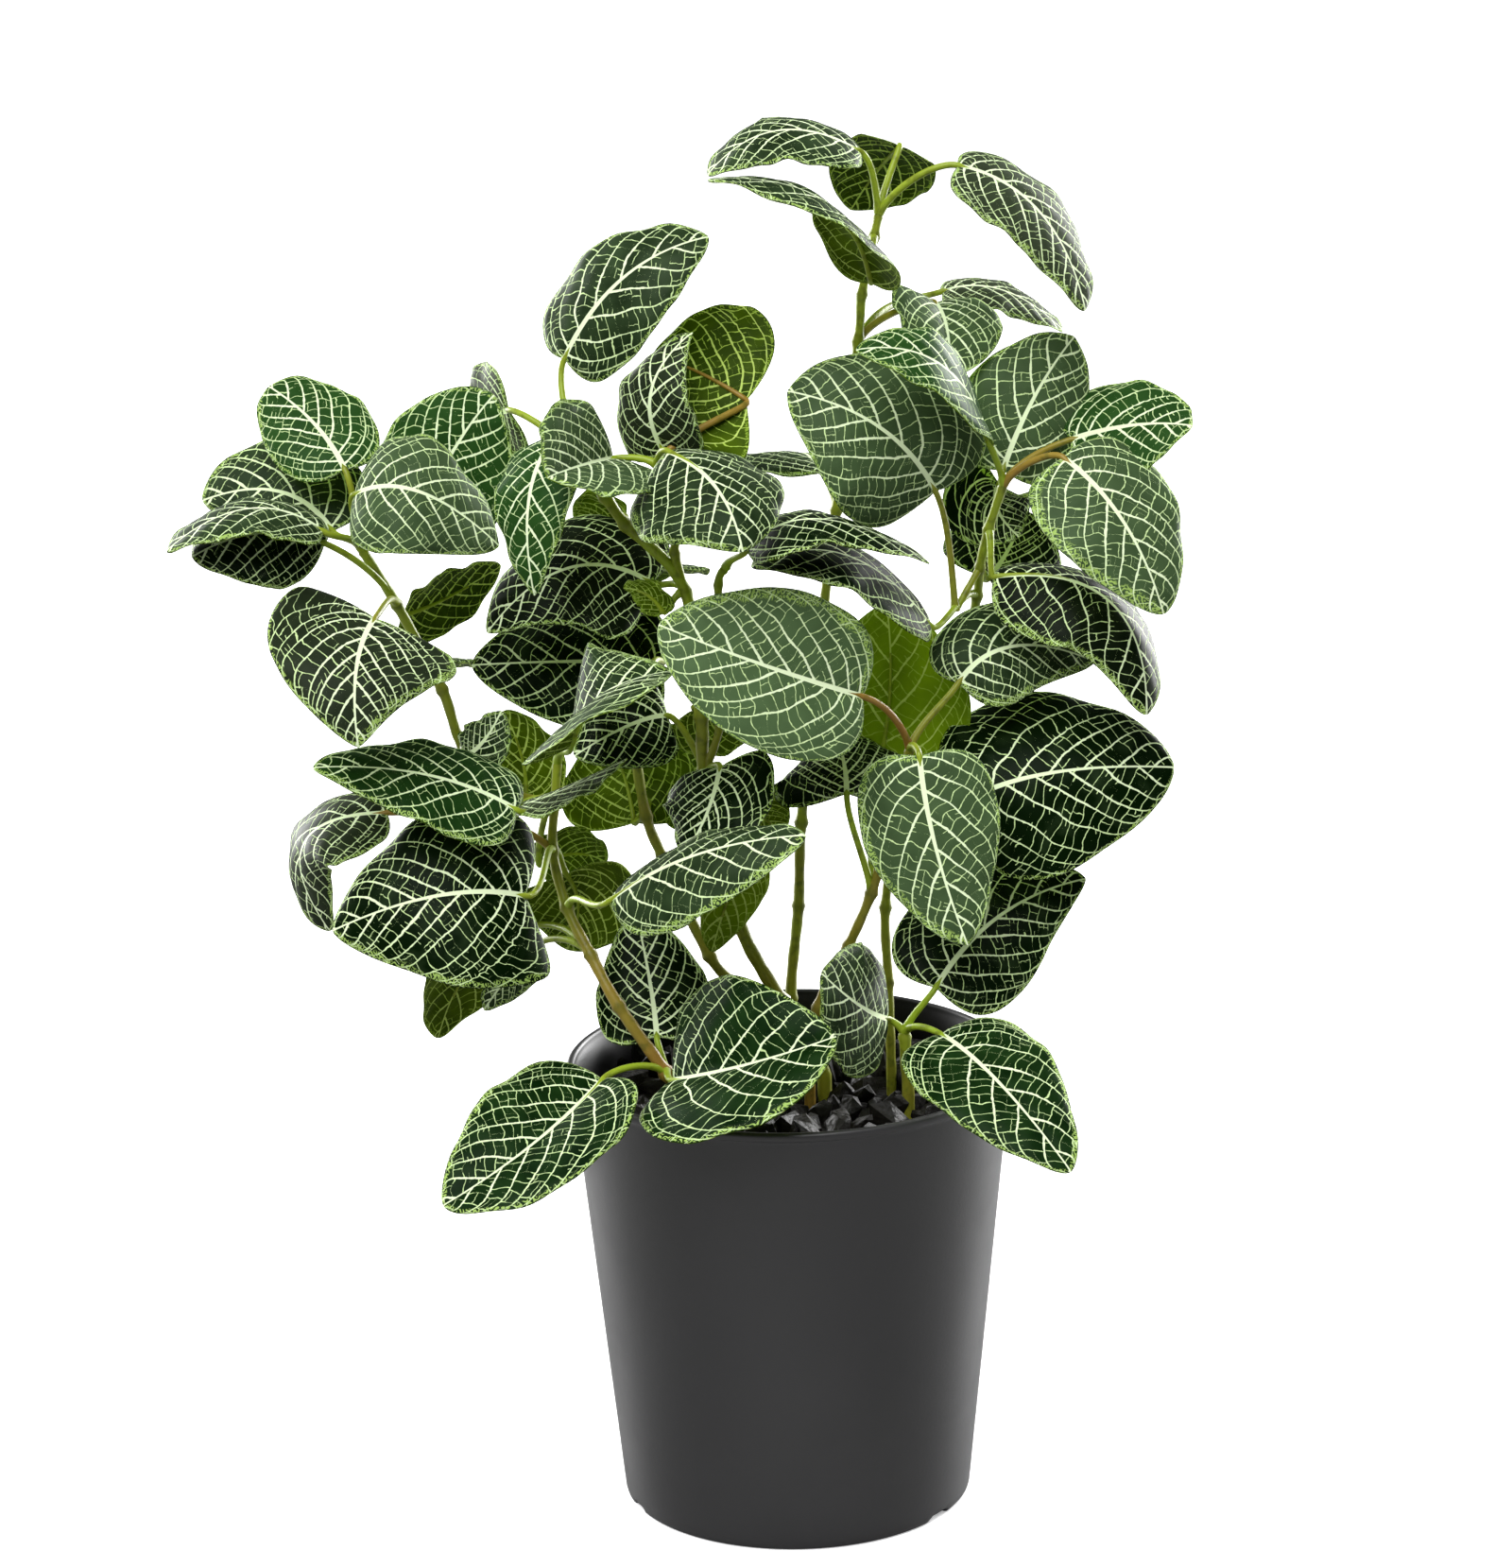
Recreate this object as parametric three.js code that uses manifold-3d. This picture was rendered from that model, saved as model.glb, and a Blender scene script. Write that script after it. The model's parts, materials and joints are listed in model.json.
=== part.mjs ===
// Potted nerve plant: a black pot of potting mix and crushed dark stone, with seven leafy stems.
// Millimetres. +Z is up, +Y is away from the front, and the origin is on the pot's axis at its foot.

import * as THREE from 'three';
import { mergeVertices } from 'three/addons/utils/BufferGeometryUtils.js';
import Module from 'manifold-3d';

const wasm = await Module();
wasm.setup();

// Driving sizes of the pot, from a standard 12 cm pot
const POT_HEIGHT = 122;
const RIM_RADIUS = 60;
const FOOT_RADIUS = 47;
const WALL = 2.4;
const FLOOR = 4;
const RIM_DEPTH = 2.4;
const FOOT_EDGE = 1.6;
const POT_SIDES = 40;
const NOTCHES = 3;
const NOTCH_WIDTH = THREE.MathUtils.degToRad(8);
const NOTCH_FIRST = THREE.MathUtils.degToRad(-36);
const NOTCH_HEIGHT = 1.8;

// What fills the pot
const GAP = 0.3;
const MIX_TOP = 100;
const STONE_BED_TOP = 109;
const STONE_COUNT = 30;
const STONE_SIZE = [5.2, 8];
const STONE_RISE = 3;
const STONE_CEILING = 117;
const GOLDEN_ANGLE = Math.PI * (3 - Math.sqrt(5));

// Stems and their holes
const ROOT_FOOT = 86;
const ROOT_TOP = 117;
const HOLE_FOOT = 84.5;
const HOLE_GAP = 0.5;
const HOLE_SIDES = 8;
const STEM_SIDES = 6;
const STALK_SIDES = 3;
const STALK_RADIUS = [1.3, 0.6];
const NODE_SWELL = 1.18;

// Leaf blades
const BLADE = 0.8;
const BLADE_ROWS = [0, 0.08, 0.28, 0.54, 0.8, 1];
const BLADE_COLUMNS = [-1, -0.5, 0, 0.5, 1];
const BLADE_CUP = THREE.MathUtils.degToRad(-10);
const RIB_DEPTH = 0.9;
const QUILT = 0.35;
const MARGIN_WAVE = 0.6;
const LOBE_REACH = 0.25;

// The photograph's eye. A reading is [column, row, depth]: where a place shows in the 1600 x 1659 frame,
// and how far it lies behind the pot's axis.
const EYE = {
  elevation: THREE.MathUtils.degToRad(16.1),
  distance: 1360,
  aimHeight: 194.5,
  focalPixels: 5461,
  roll: THREE.MathUtils.degToRad(1),
  aimColumn: 831.8,
  aimRow: 843.8,
};

// The leafy stems. A stem starts at its root in the mix, or from a point of an earlier stem of its node.
// A leaf hangs on stem `on` at its point `at`, counted from 1. `face` is the way its upper side looks,
// `lift` raises its two halves in degrees, `lobes` push its base back beside the stalk, as parts of its
// width, and `heart` above 0 tapers it to the tip and below 0 makes it blunt.
const SHOOTS = {
  tall_stem: {
    stems: [
      {
        root: [3, 10],
        radii: [1.5, 1.15],
        points: [
          [837, 1056, 12], [845, 958, 15], [848, 870, 17], [862, 720, 15],
          [885, 540, 10], [908, 361, 6], [912, 311, 5], [925, 250, 4],
          [930, 225, 4],
        ],
      },
    ],
    leaves: [
      {
        at: 9, foot: [910, 160, 2], middle: [822, 139, -2], tip: [749, 186, -4],
        face: [0, -0.25, 1], width: 30,
      },
      {
        at: 9, foot: [952, 154, 12], middle: [928, 180, 24], tip: [900, 222, 34],
        face: [0.15, 0.8, 0.6], width: 28,
      },
      {
        at: 9, foot: [1014, 175, 0], middle: [1100, 225, -5], tip: [1148, 329, -12],
        face: [0.5, -0.45, 0.75], width: 30,
      },
      {
        at: 8, foot: [922, 299, -4], middle: [872, 213, -20], tip: [749, 190, -15],
        face: [0.2, -0.05, 0.97], width: 28,
      },
      {
        at: 6, foot: [989, 320, 24], middle: [1002, 350, 12], tip: [1005, 400, 2],
        face: [0, -0.5, 0.86], width: 31, lift: [0, 45],
      },
      {
        at: 6, foot: [998, 308, 41], middle: [1062, 308, 40], tip: [1125, 351, 38],
        face: [0.3, -0.15, 0.95], width: 26,
      },
      {
        at: 4, foot: [880, 700, 34], middle: [905, 690, 50], tip: [940, 700, 66],
        face: [0, 0.5, 0.85], width: 40,
      },
      {
        at: 5, foot: [870, 500, 28], middle: [850, 480, 46], tip: [830, 490, 62],
        face: [0, 0.5, 0.85], width: 38,
      },
    ],
  },
  centre_stem: {
    stems: [
      {
        root: [9, 0],
        radii: [2, 1.4],
        points: [
          [827, 1059, -2], [779, 968, -6], [746, 818, -10], [742, 759, -12],
          [725, 625, -14], [662, 555, -14], [640, 525, -12], [606, 485, -8],
        ],
      },
      {
        from: { stem: 0, at: 5 },
        radii: [1.2, 1.1],
        points: [
          [714, 585, -15], [716, 555, -15], [695, 492, -14],
        ],
      },
      {
        from: { stem: 0, at: 3 },
        radii: [1.1, 1],
        points: [
          [762, 765, -17], [764, 690, -22], [760, 619, -25], [768, 600, -25],
        ],
      },
    ],
    leaves: [
      {
        at: 8, foot: [538, 434, 6], middle: [516, 442, 20], tip: [497, 456, 32],
        face: [-0.86, -0.36, -0.3], width: 28,
      },
      {
        at: 8, foot: [597, 380, 2], middle: [660, 294, 0], tip: [750, 251, 4],
        face: [-0.2, -0.7, 0.65], width: 34, lift: [-5, 0], lobes: [0.2, 0.2],
      },
      {
        at: 8, foot: [588, 462, -11], middle: [560, 530, -28], tip: [566, 630, -33],
        face: [-0.5, -0.8, 0.35], width: 26, heart: 0.4,
      },
      {
        at: 5, foot: [690, 617, -3], middle: [600, 602, -4], tip: [516, 670, -8],
        face: [-0.2, -0.6, 0.8], width: 42, heart: 0.5,
      },
      {
        at: 5, foot: [703, 648, -16], middle: [685, 628, -16], tip: [660, 622, -14],
        face: [0.2, 0.9, 0.3], width: 10,
      },
      {
        at: 6, foot: [655, 560, 13], middle: [635, 550, 17], tip: [608, 552, 21],
        face: [0, 0.9, 0.3], width: 22,
      },
      {
        at: 3, foot: [706, 757, -6], middle: [665, 768, -10], tip: [608, 800, -11],
        face: [-0.1, -0.8, 0.6], width: 26,
      },
      {
        at: 3, foot: [762, 811, -17], middle: [748, 862, -27], tip: [722, 908, -30],
        face: [-0.4, -0.6, 0.7], width: 32, lobes: [0.35, 0.14],
      },
      {
        at: 2, foot: [790, 905, -18], middle: [772, 945, -20], tip: [753, 1007, -22],
        face: [0, 0.9, 0.4], width: 18,
      },
      {
        at: 3, foot: [785, 845, 1], middle: [805, 862, 4], tip: [830, 880, 7],
        face: [0, 0.9, 0.4], width: 20,
      },
      {
        at: 5, foot: [700, 600, 14], middle: [660, 600, 34], tip: [620, 620, 52],
        face: [-0.2, 0.5, 0.85], width: 38,
      },
      {
        on: 1, at: 3, foot: [702, 477, -10], middle: [690, 412, -12], tip: [733, 352, -5],
        face: [-0.5, -0.7, 0.5], width: 26, lobes: [0.3, 0.3], heart: 0.9,
      },
      {
        on: 1, at: 3, foot: [790, 424, 0], middle: [737, 394, 8], tip: [690, 377, 16],
        face: [-0.2, 0.85, -0.45], width: 44, lobes: [0.02, 0.5],
      },
      {
        on: 1, at: 3, foot: [649, 485, -13], middle: [613, 494, -30], tip: [579, 506, -42],
        face: [-0.1, -0.5, 0.85], width: 36, lift: [0, 70], lobes: [0.3, 0.1], heart: 0.2,
      },
      {
        on: 1, at: 3, foot: [706, 477, -23], middle: [758, 516, -41], tip: [786, 584, -51],
        face: [-0.2, -0.75, 0.6], width: 46, lift: [-45, 0],
      },
      {
        on: 2, at: 4, foot: [790, 583, -32], middle: [868, 550, -28], tip: [984, 596, -24],
        face: [0.1, -0.05, 1], width: 30,
      },
      {
        on: 2, at: 1, foot: [735, 750, -1], middle: [765, 764, 3], tip: [800, 768, 5],
        face: [0, 0.9, 0.4], width: 24,
      },
    ],
  },
  back_stem: {
    stems: [
      {
        root: [6, 16],
        radii: [1.6, 1.3],
        points: [
          [788, 1050, 16], [751, 1011, 15], [701, 906, 14], [684, 864, 13],
          [673, 800, 11], [672, 760, 9], [690, 705, 6],
        ],
      },
    ],
    leaves: [
      {
        at: 7, foot: [700, 702, 19], middle: [610, 700, 17], tip: [499, 704, 15],
        face: [-0.1, -0.85, 0.5], width: 38,
      },
      {
        at: 4, foot: [671, 871, 18], middle: [660, 820, 25], tip: [640, 770, 29],
        face: [-0.1, 0.95, -0.2], width: 38,
      },
      {
        at: 5, foot: [684, 838, 28], middle: [706, 812, 32], tip: [733, 770, 35],
        face: [0.1, 0.95, 0.1], width: 34,
      },
      {
        at: 4, foot: [700, 850, 46], middle: [730, 840, 62], tip: [760, 850, 76],
        face: [0.2, 0.6, 0.8], width: 34,
      },
    ],
  },
  left_stem: {
    stems: [
      {
        root: [-27, -24],
        radii: [2.2, 1.5],
        points: [
          [705, 1135, -27], [655, 1065, -27], [625, 1010, -21], [600, 960, -14],
          [585, 900, -8], [587, 850, -6], [590, 805, -6],
        ],
      },
      {
        from: { stem: 0, at: 6 },
        radii: [1.5, 1.3],
        points: [
          [545, 840, 2], [491, 790, 2], [468, 730, 0], [420, 640, -5],
          [382, 580, -8],
        ],
      },
    ],
    leaves: [
      {
        at: 1, foot: [638, 1142, -40], middle: [564, 1211, -62], tip: [469, 1276, -74],
        face: [-0.2, -0.85, 0.5], width: 42, lift: [45, 0], lobes: [0.02, 0.2],
      },
      {
        at: 1, foot: [712, 1143, -40], middle: [790, 1127, -58], tip: [885, 1097, -62],
        face: [-0.1, -0.7, 0.7], width: 50, lift: [30, 32], lobes: [0.16, 0.02],
      },
      {
        at: 1, foot: [695, 1097, -24], middle: [688, 1040, -14], tip: [673, 965, -4],
        face: [0, -0.95, 0.3], width: 31,
      },
      {
        at: 3, foot: [545, 985, 8], middle: [495, 1025, 16], tip: [463, 1098, 20],
        face: [-0.5, 0.8, 0.3], width: 30,
      },
      {
        at: 3, foot: [560, 1005, -4], middle: [540, 1030, -3], tip: [512, 1069, -5],
        face: [-0.3, -0.8, 0.5], width: 14,
      },
      {
        at: 5, foot: [410, 860, -6], middle: [322, 893, -8], tip: [350, 985, -10],
        face: [-0.7, -0.3, 0.65], width: 34,
      },
      {
        at: 5, foot: [556, 948, -38], middle: [462, 948, -46], tip: [352, 985, -40],
        face: [-0.2, -0.85, 0.5], width: 50, lobes: [0.42, 0.25], heart: 0.2,
      },
      {
        at: 6, foot: [547, 857, -34], middle: [450, 820, -38], tip: [331, 813, -44],
        face: [-0.1, -0.45, 0.88], width: 34, heart: 0.2,
      },
      {
        at: 6, foot: [549, 853, -25], middle: [607, 832, -25], tip: [664, 803, -25],
        face: [-0.3, 0.1, 0.95], width: 26,
      },
      {
        at: 7, foot: [604, 790, -26], middle: [634, 738, -38], tip: [710, 711, -33],
        face: [-0.3, -0.6, 0.75], width: 44, lift: [0, 55], lobes: [0.3, 0],
      },
      {
        at: 4, foot: [645, 953, -41], middle: [735, 905, -51], tip: [853, 884, -56],
        face: [-0.05, -0.7, 0.7], width: 34, lift: [-40, 0], lobes: [0.14, 0.04],
      },
      {
        at: 6, foot: [572, 915, 9], middle: [607, 902, 13], tip: [642, 912, 15],
        face: [0, 0.9, 0.3], width: 20,
      },
      {
        at: 5, foot: [600, 925, -1], middle: [612, 960, 3], tip: [600, 1005, 5],
        face: [0, 0.9, 0.4], width: 36,
      },
      {
        at: 4, foot: [580, 950, 20], middle: [540, 950, 40], tip: [490, 960, 56],
        face: [-0.3, 0.6, 0.8], width: 38,
      },
      {
        on: 1, at: 2, foot: [493, 800, -6], middle: [513, 783, -6], tip: [531, 752, -4],
        face: [-0.3, -0.8, 0.5], width: 16,
      },
      {
        on: 1, at: 2, foot: [557, 846, 14], middle: [553, 800, 18], tip: [533, 752, 20],
        face: [0.2, 0.9, 0.3], width: 26,
      },
      {
        on: 1, at: 5, foot: [365, 497, -8], middle: [332, 448, 2], tip: [284, 409, 14],
        face: [0, -0.7, 0.7], width: 29, lobes: [0.08, 0.08], heart: -0.8,
      },
      {
        on: 1, at: 5, foot: [352, 562, -2], middle: [295, 520, 6], tip: [214, 530, 8],
        face: [0, -0.85, 0.5], width: 36, lobes: [0.05, 0.05],
      },
      {
        on: 1, at: 4, foot: [344, 575, -14], middle: [275, 564, -16], tip: [203, 590, -20],
        face: [-0.1, -0.8, 0.6], width: 30, lift: [0, -35], lobes: [0.05, 0.1], heart: -0.5,
      },
      {
        on: 1, at: 5, foot: [342, 562, -20], middle: [262, 539, -22], tip: [176, 584, -28],
        face: [0, -0.12, 1], width: 28,
      },
      {
        on: 1, at: 4, foot: [397, 654, -28], middle: [377, 708, -48], tip: [379, 791, -57],
        face: [0, -0.6, 0.8], width: 50, lift: [-8, 14], lobes: [0.05, 0.3], heart: 1,
      },
      {
        on: 1, at: 5, foot: [375, 523, -16], middle: [445, 521, -25], tip: [528, 578, -14],
        face: [0, -0.75, 0.65], width: 36,
      },
      {
        on: 1, at: 5, foot: [440, 560, 2], middle: [478, 480, 3], tip: [523, 418, 3],
        face: [-0.1, -0.9, 0.4], width: 38,
      },
      {
        on: 1, at: 4, foot: [428, 648, 10], middle: [470, 632, 16], tip: [530, 598, 24],
        face: [0.2, 0.8, 0.5], width: 24,
      },
      {
        on: 1, at: 3, foot: [455, 700, 14], middle: [420, 700, 32], tip: [380, 710, 46],
        face: [-0.3, 0.6, 0.8], width: 36,
      },
    ],
  },
  right_stem: {
    stems: [
      {
        root: [5, -8],
        radii: [1.5, 1.2],
        points: [
          [866, 1066, -9], [898, 1000, -11], [922, 945, -12], [945, 870, -16],
          [963, 791, -18],
        ],
      },
    ],
    leaves: [
      {
        at: 5, foot: [1014, 723, -12], middle: [1072, 684, -6], tip: [1158, 700, 0],
        face: [0.1, -0.8, 0.6], width: 29,
      },
      {
        at: 3, foot: [928, 820, 4], middle: [942, 731, 9], tip: [938, 638, 13],
        face: [0.1, 0.95, -0.3], width: 45,
      },
      {
        at: 5, foot: [913, 737, -32], middle: [803, 702, -40], tip: [697, 661, -38],
        face: [-0.05, -0.92, 0.38], width: 43, lift: [19, 8],
      },
      {
        at: 5, foot: [973, 800, -28], middle: [990, 896, -36], tip: [1024, 1000, -42],
        face: [-0.1, -0.85, 0.5], width: 37, heart: 0.2,
      },
      {
        at: 4, foot: [1018, 850, -14], middle: [1110, 818, -14], tip: [1243, 812, -8],
        face: [0.05, -0.9, 0.4], width: 54, lift: [-20, 0], heart: -0.5,
      },
      {
        at: 3, foot: [896, 840, -13], middle: [893, 807, -6], tip: [884, 779, 6],
        face: [0, -0.5, 0.86], width: 40, lift: [-10, 0],
      },
    ],
  },
  far_right_stem: {
    stems: [
      {
        root: [27, 6],
        radii: [1.3, 1.2],
        points: [
          [940, 1040, 9], [937, 960, 11], [950, 880, 13], [985, 780, 15],
          [1020, 690, 14], [1034, 630, 8], [1037, 600, 2], [1046, 560, -4],
          [1062, 512, -8],
        ],
      },
      {
        from: { stem: 0, at: 7 },
        radii: [1, 0.9],
        points: [
          [1011, 646, -3],
        ],
      },
    ],
    leaves: [
      {
        at: 9, foot: [1044, 461, -14], middle: [993, 385, -28], tip: [906, 371, -30],
        face: [-0.1, -0.5, 0.85], width: 26, lift: [10, 10], lobes: [0.05, 0.05],
      },
      {
        at: 9, foot: [1061, 498, -2], middle: [1094, 421, 4], tip: [1137, 356, 12],
        face: [0.1, -0.9, 0.45], width: 35.5,
      },
      {
        at: 9, foot: [1133, 465, -1], middle: [1200, 450, -7], tip: [1262, 451, -15],
        face: [0.1, -0.75, 0.65], width: 31, lobes: [0.3, 0.14],
      },
      {
        at: 9, foot: [1125, 484, -16], middle: [1189, 553, -29], tip: [1231, 650, -35],
        face: [0.3, -0.85, 0.45], width: 37,
      },
      {
        at: 9, foot: [1057, 513, 6], middle: [1056, 540, 10], tip: [1078, 568, 8],
        face: [0, -0.8, 0.6], width: 28,
      },
      {
        at: 7, foot: [1046, 612, 20], middle: [1068, 580, 26], tip: [1085, 540, 32],
        face: [-0.1, -0.9, 0.4], width: 34,
      },
      {
        at: 8, foot: [1051, 610, -8], middle: [1174, 636, -16], tip: [1213, 757, -24],
        face: [0.25, -0.75, 0.6], width: 38, lift: [-45, 0],
      },
      {
        at: 6, foot: [985, 662, -14], middle: [895, 588, -20], tip: [795, 600, -24],
        face: [0.1, -0.2, 0.97], width: 34,
      },
      {
        at: 5, foot: [1040, 690, 30], middle: [1075, 690, 48], tip: [1120, 700, 60],
        face: [0.3, 0.6, 0.8], width: 38,
      },
      {
        at: 4, foot: [1000, 800, 32], middle: [1040, 830, 50], tip: [1090, 850, 62],
        face: [0.3, 0.6, 0.8], width: 40,
      },
      {
        on: 1, at: 1, foot: [990, 520, -8], middle: [929, 451, -14], tip: [833, 414, -8],
        face: [-0.1, -0.85, 0.5], width: 46, lift: [8, 8],
      },
    ],
  },
  low_shoot: {
    stems: [
      {
        root: [31, -16],
        radii: [1.6, 1.6],
        points: [
          [957, 1092, -17],
        ],
      },
    ],
    leaves: [
      {
        at: 1, foot: [990, 1045, -18], middle: [1058, 969, -8], tip: [1149, 930, -2],
        face: [0, -0.85, 0.5], width: 38, heart: 0.5,
      },
      {
        at: 1, foot: [995, 1094, -30], middle: [1057, 1146, -52], tip: [1133, 1240, -72],
        face: [0.25, -0.6, 0.76], width: 36, lift: [15, 0],
      },
      {
        at: 1, foot: [940, 1078, -18], middle: [908, 1063, -34], tip: [869, 1030, -46],
        face: [0.85, -0.5, 0.15], width: 36, lobes: [0.1, 0.1],
      },
    ],
  },
};

function placeSeen([column, row, depth]) {
  const { elevation, distance, aimHeight, focalPixels, roll, aimColumn, aimRow } = EYE;
  const forward = new THREE.Vector3(0, Math.cos(elevation), -Math.sin(elevation));
  const upward = new THREE.Vector3(0, Math.sin(elevation), Math.cos(elevation));
  const across = column - aimColumn;
  const rise = aimRow - row;
  const x = (Math.cos(roll) * across + Math.sin(roll) * rise) / focalPixels;
  const y = (Math.cos(roll) * rise - Math.sin(roll) * across) / focalPixels;
  const eye = new THREE.Vector3(0, 0, aimHeight).addScaledVector(forward, -distance);
  const ray = forward.clone().addScaledVector(upward, y).setX(x);
  return eye.addScaledVector(ray, (depth - eye.y) / ray.y);
}

function seededRandom(seed) {
  let state = seed;
  return () => {
    state = (state * 1664525 + 1013904223) % 4294967296;
    return state / 4294967296;
  };
}

function solidOf(points, triangles) {
  return new wasm.Manifold(new wasm.Mesh({
    numProp: 3,
    vertProperties: new Float32Array(points.flatMap((point) => point.toArray())),
    triVerts: new Uint32Array(triangles.flat()),
  }));
}

// A closed solid from a closed surface whose seams and poles may hold doubled points.
function solidOfGeometry(source) {
  const bare = source.clone();
  bare.deleteAttribute('normal');
  bare.deleteAttribute('uv');
  const merged = mergeVertices(bare, 1e-4);
  const place = merged.getAttribute('position');
  const points = Array.from({ length: place.count }, (_, k) => {
    return new THREE.Vector3().fromBufferAttribute(place, k);
  });
  const triangles = [];
  for (let k = 0; k < merged.index.count; k += 3) {
    const [a, b, c] = [0, 1, 2].map((corner) => merged.index.getX(k + corner));
    if (a !== b && b !== c && c !== a) {
      triangles.push([a, b, c]);
    }
  }
  return solidOf(points, triangles);
}

function turned(profile, sides = POT_SIDES) {
  const outline = profile.map(([radius, height]) => new THREE.Vector2(radius, height));
  return solidOfGeometry(new THREE.LatheGeometry(outline, sides).rotateX(Math.PI / 2));
}

function upright(radius, bottom, top, x, y) {
  const post = new THREE.CylinderGeometry(radius, radius, top - bottom, HOLE_SIDES).rotateX(Math.PI / 2);
  return solidOfGeometry(post.translate(x, y, (bottom + top) / 2));
}

function meshOf(name, solid, colour, roughness) {
  const { vertProperties, triVerts, numProp } = solid.getMesh();
  const place = new Float32Array((vertProperties.length / numProp) * 3);
  for (let k = 0; k < place.length / 3; k += 1) {
    place.set(vertProperties.subarray(k * numProp, k * numProp + 3), k * 3);
  }
  const geometry = new THREE.BufferGeometry();
  geometry.setAttribute('position', new THREE.BufferAttribute(place, 3));
  geometry.setIndex(new THREE.BufferAttribute(new Uint32Array(triVerts), 1));
  geometry.computeVertexNormals();
  const mesh = new THREE.Mesh(geometry, new THREE.MeshStandardMaterial({ color: colour, roughness }));
  mesh.name = name;
  return mesh;
}

// Pot
function wallRadius(height) {
  return THREE.MathUtils.mapLinear(height, FOOT_EDGE, POT_HEIGHT - RIM_DEPTH, FOOT_RADIUS, RIM_RADIUS - 1);
}

function insideRadius(height) {
  return wallRadius(height) - WALL;
}

function footNotch(middle) {
  const [near, far] = [FOOT_RADIUS - WALL, FOOT_RADIUS + WALL];
  const [start, end] = [middle - NOTCH_WIDTH / 2, middle + NOTCH_WIDTH / 2];
  const plan = new THREE.Shape();
  plan.absarc(0, 0, far, start, end, false);
  plan.absarc(0, 0, near, end, start, true);
  plan.closePath();
  const cut = { depth: NOTCH_HEIGHT + 1, bevelEnabled: false, curveSegments: 4 };
  const notch = new THREE.ExtrudeGeometry(plan, cut);
  return solidOfGeometry(notch.translate(0, 0, -1));
}

function pot() {
  const rimFoot = POT_HEIGHT - RIM_DEPTH;
  let solid = turned([
    [0, 0],
    [FOOT_RADIUS - FOOT_EDGE, 0],
    [FOOT_RADIUS - FOOT_EDGE * 0.3, FOOT_EDGE * 0.3],
    [FOOT_RADIUS, FOOT_EDGE],
    [wallRadius(rimFoot), rimFoot],
    [RIM_RADIUS, rimFoot + 0.6],
    [RIM_RADIUS, POT_HEIGHT - 1.1],
    [RIM_RADIUS - 0.4, POT_HEIGHT - 0.3],
    [RIM_RADIUS - 1.3, POT_HEIGHT],
    [RIM_RADIUS - 2.2, POT_HEIGHT - 0.3],
    [RIM_RADIUS - 2.7, POT_HEIGHT - 1.2],
    [insideRadius(rimFoot), rimFoot],
    [insideRadius(FLOOR + 2), FLOOR + 2],
    [insideRadius(FLOOR + 2) - 2, FLOOR],
    [0, FLOOR],
  ]);
  for (let k = 0; k < NOTCHES; k += 1) {
    solid = solid.subtract(footNotch(NOTCH_FIRST + (k * 2 * Math.PI) / NOTCHES));
  }
  return solid;
}

// Potting mix and stones
function stemHoles() {
  const rooted = Object.values(SHOOTS).map((shoot) => shoot.stems[0]);
  return rooted.map(({ root: [x, y], radii }) => upright(radii[0] + HOLE_GAP, HOLE_FOOT, POT_HEIGHT, x, y));
}

function pottingMix() {
  const [bottom, top] = [FLOOR + GAP, MIX_TOP];
  const plug = turned([
    [0, bottom],
    [insideRadius(FLOOR + 2) - 2 - GAP, bottom],
    [insideRadius(FLOOR + 2 + GAP) - GAP, FLOOR + 2 + GAP],
    [insideRadius(top) - GAP, top],
    [0, top],
  ]);
  return stemHoles().reduce((solid, hole) => solid.subtract(hole), plug);
}

function stone(random, x, y, height) {
  const ball = new THREE.IcosahedronGeometry(1, 0).deleteAttribute('normal').deleteAttribute('uv');
  const rough = mergeVertices(ball);
  const place = rough.getAttribute('position');
  const size = THREE.MathUtils.lerp(STONE_SIZE[0], STONE_SIZE[1], random());
  for (let k = 0; k < place.count; k += 1) {
    const chip = 0.8 + 0.35 * random();
    place.setXYZ(k, place.getX(k) * chip, place.getY(k) * chip, place.getZ(k) * chip);
  }
  rough.scale(size * 1.15, size * 0.9, size * 0.75);
  rough.rotateZ(random() * Math.PI);
  rough.translate(x, y, height);
  return solidOfGeometry(rough);
}

function topStones() {
  const random = seededRandom(11);
  const bottom = MIX_TOP + GAP;
  const reach = insideRadius(bottom) - GAP;
  let layer = turned([[0, bottom], [reach, bottom], [reach, STONE_BED_TOP], [0, STONE_BED_TOP]]);
  for (let k = 0; k < STONE_COUNT; k += 1) {
    const out = (reach - STONE_SIZE[0]) * Math.sqrt((k + 0.5) / STONE_COUNT);
    const turn = k * GOLDEN_ANGLE;
    const height = STONE_BED_TOP + STONE_RISE * random();
    layer = layer.add(stone(random, out * Math.cos(turn), out * Math.sin(turn), height));
  }
  const room = turned([
    [0, bottom],
    [reach, bottom],
    [insideRadius(STONE_CEILING) - GAP, STONE_CEILING],
    [0, STONE_CEILING],
  ]);
  return stemHoles().reduce((solid, hole) => solid.subtract(hole), layer.intersect(room));
}

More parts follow.
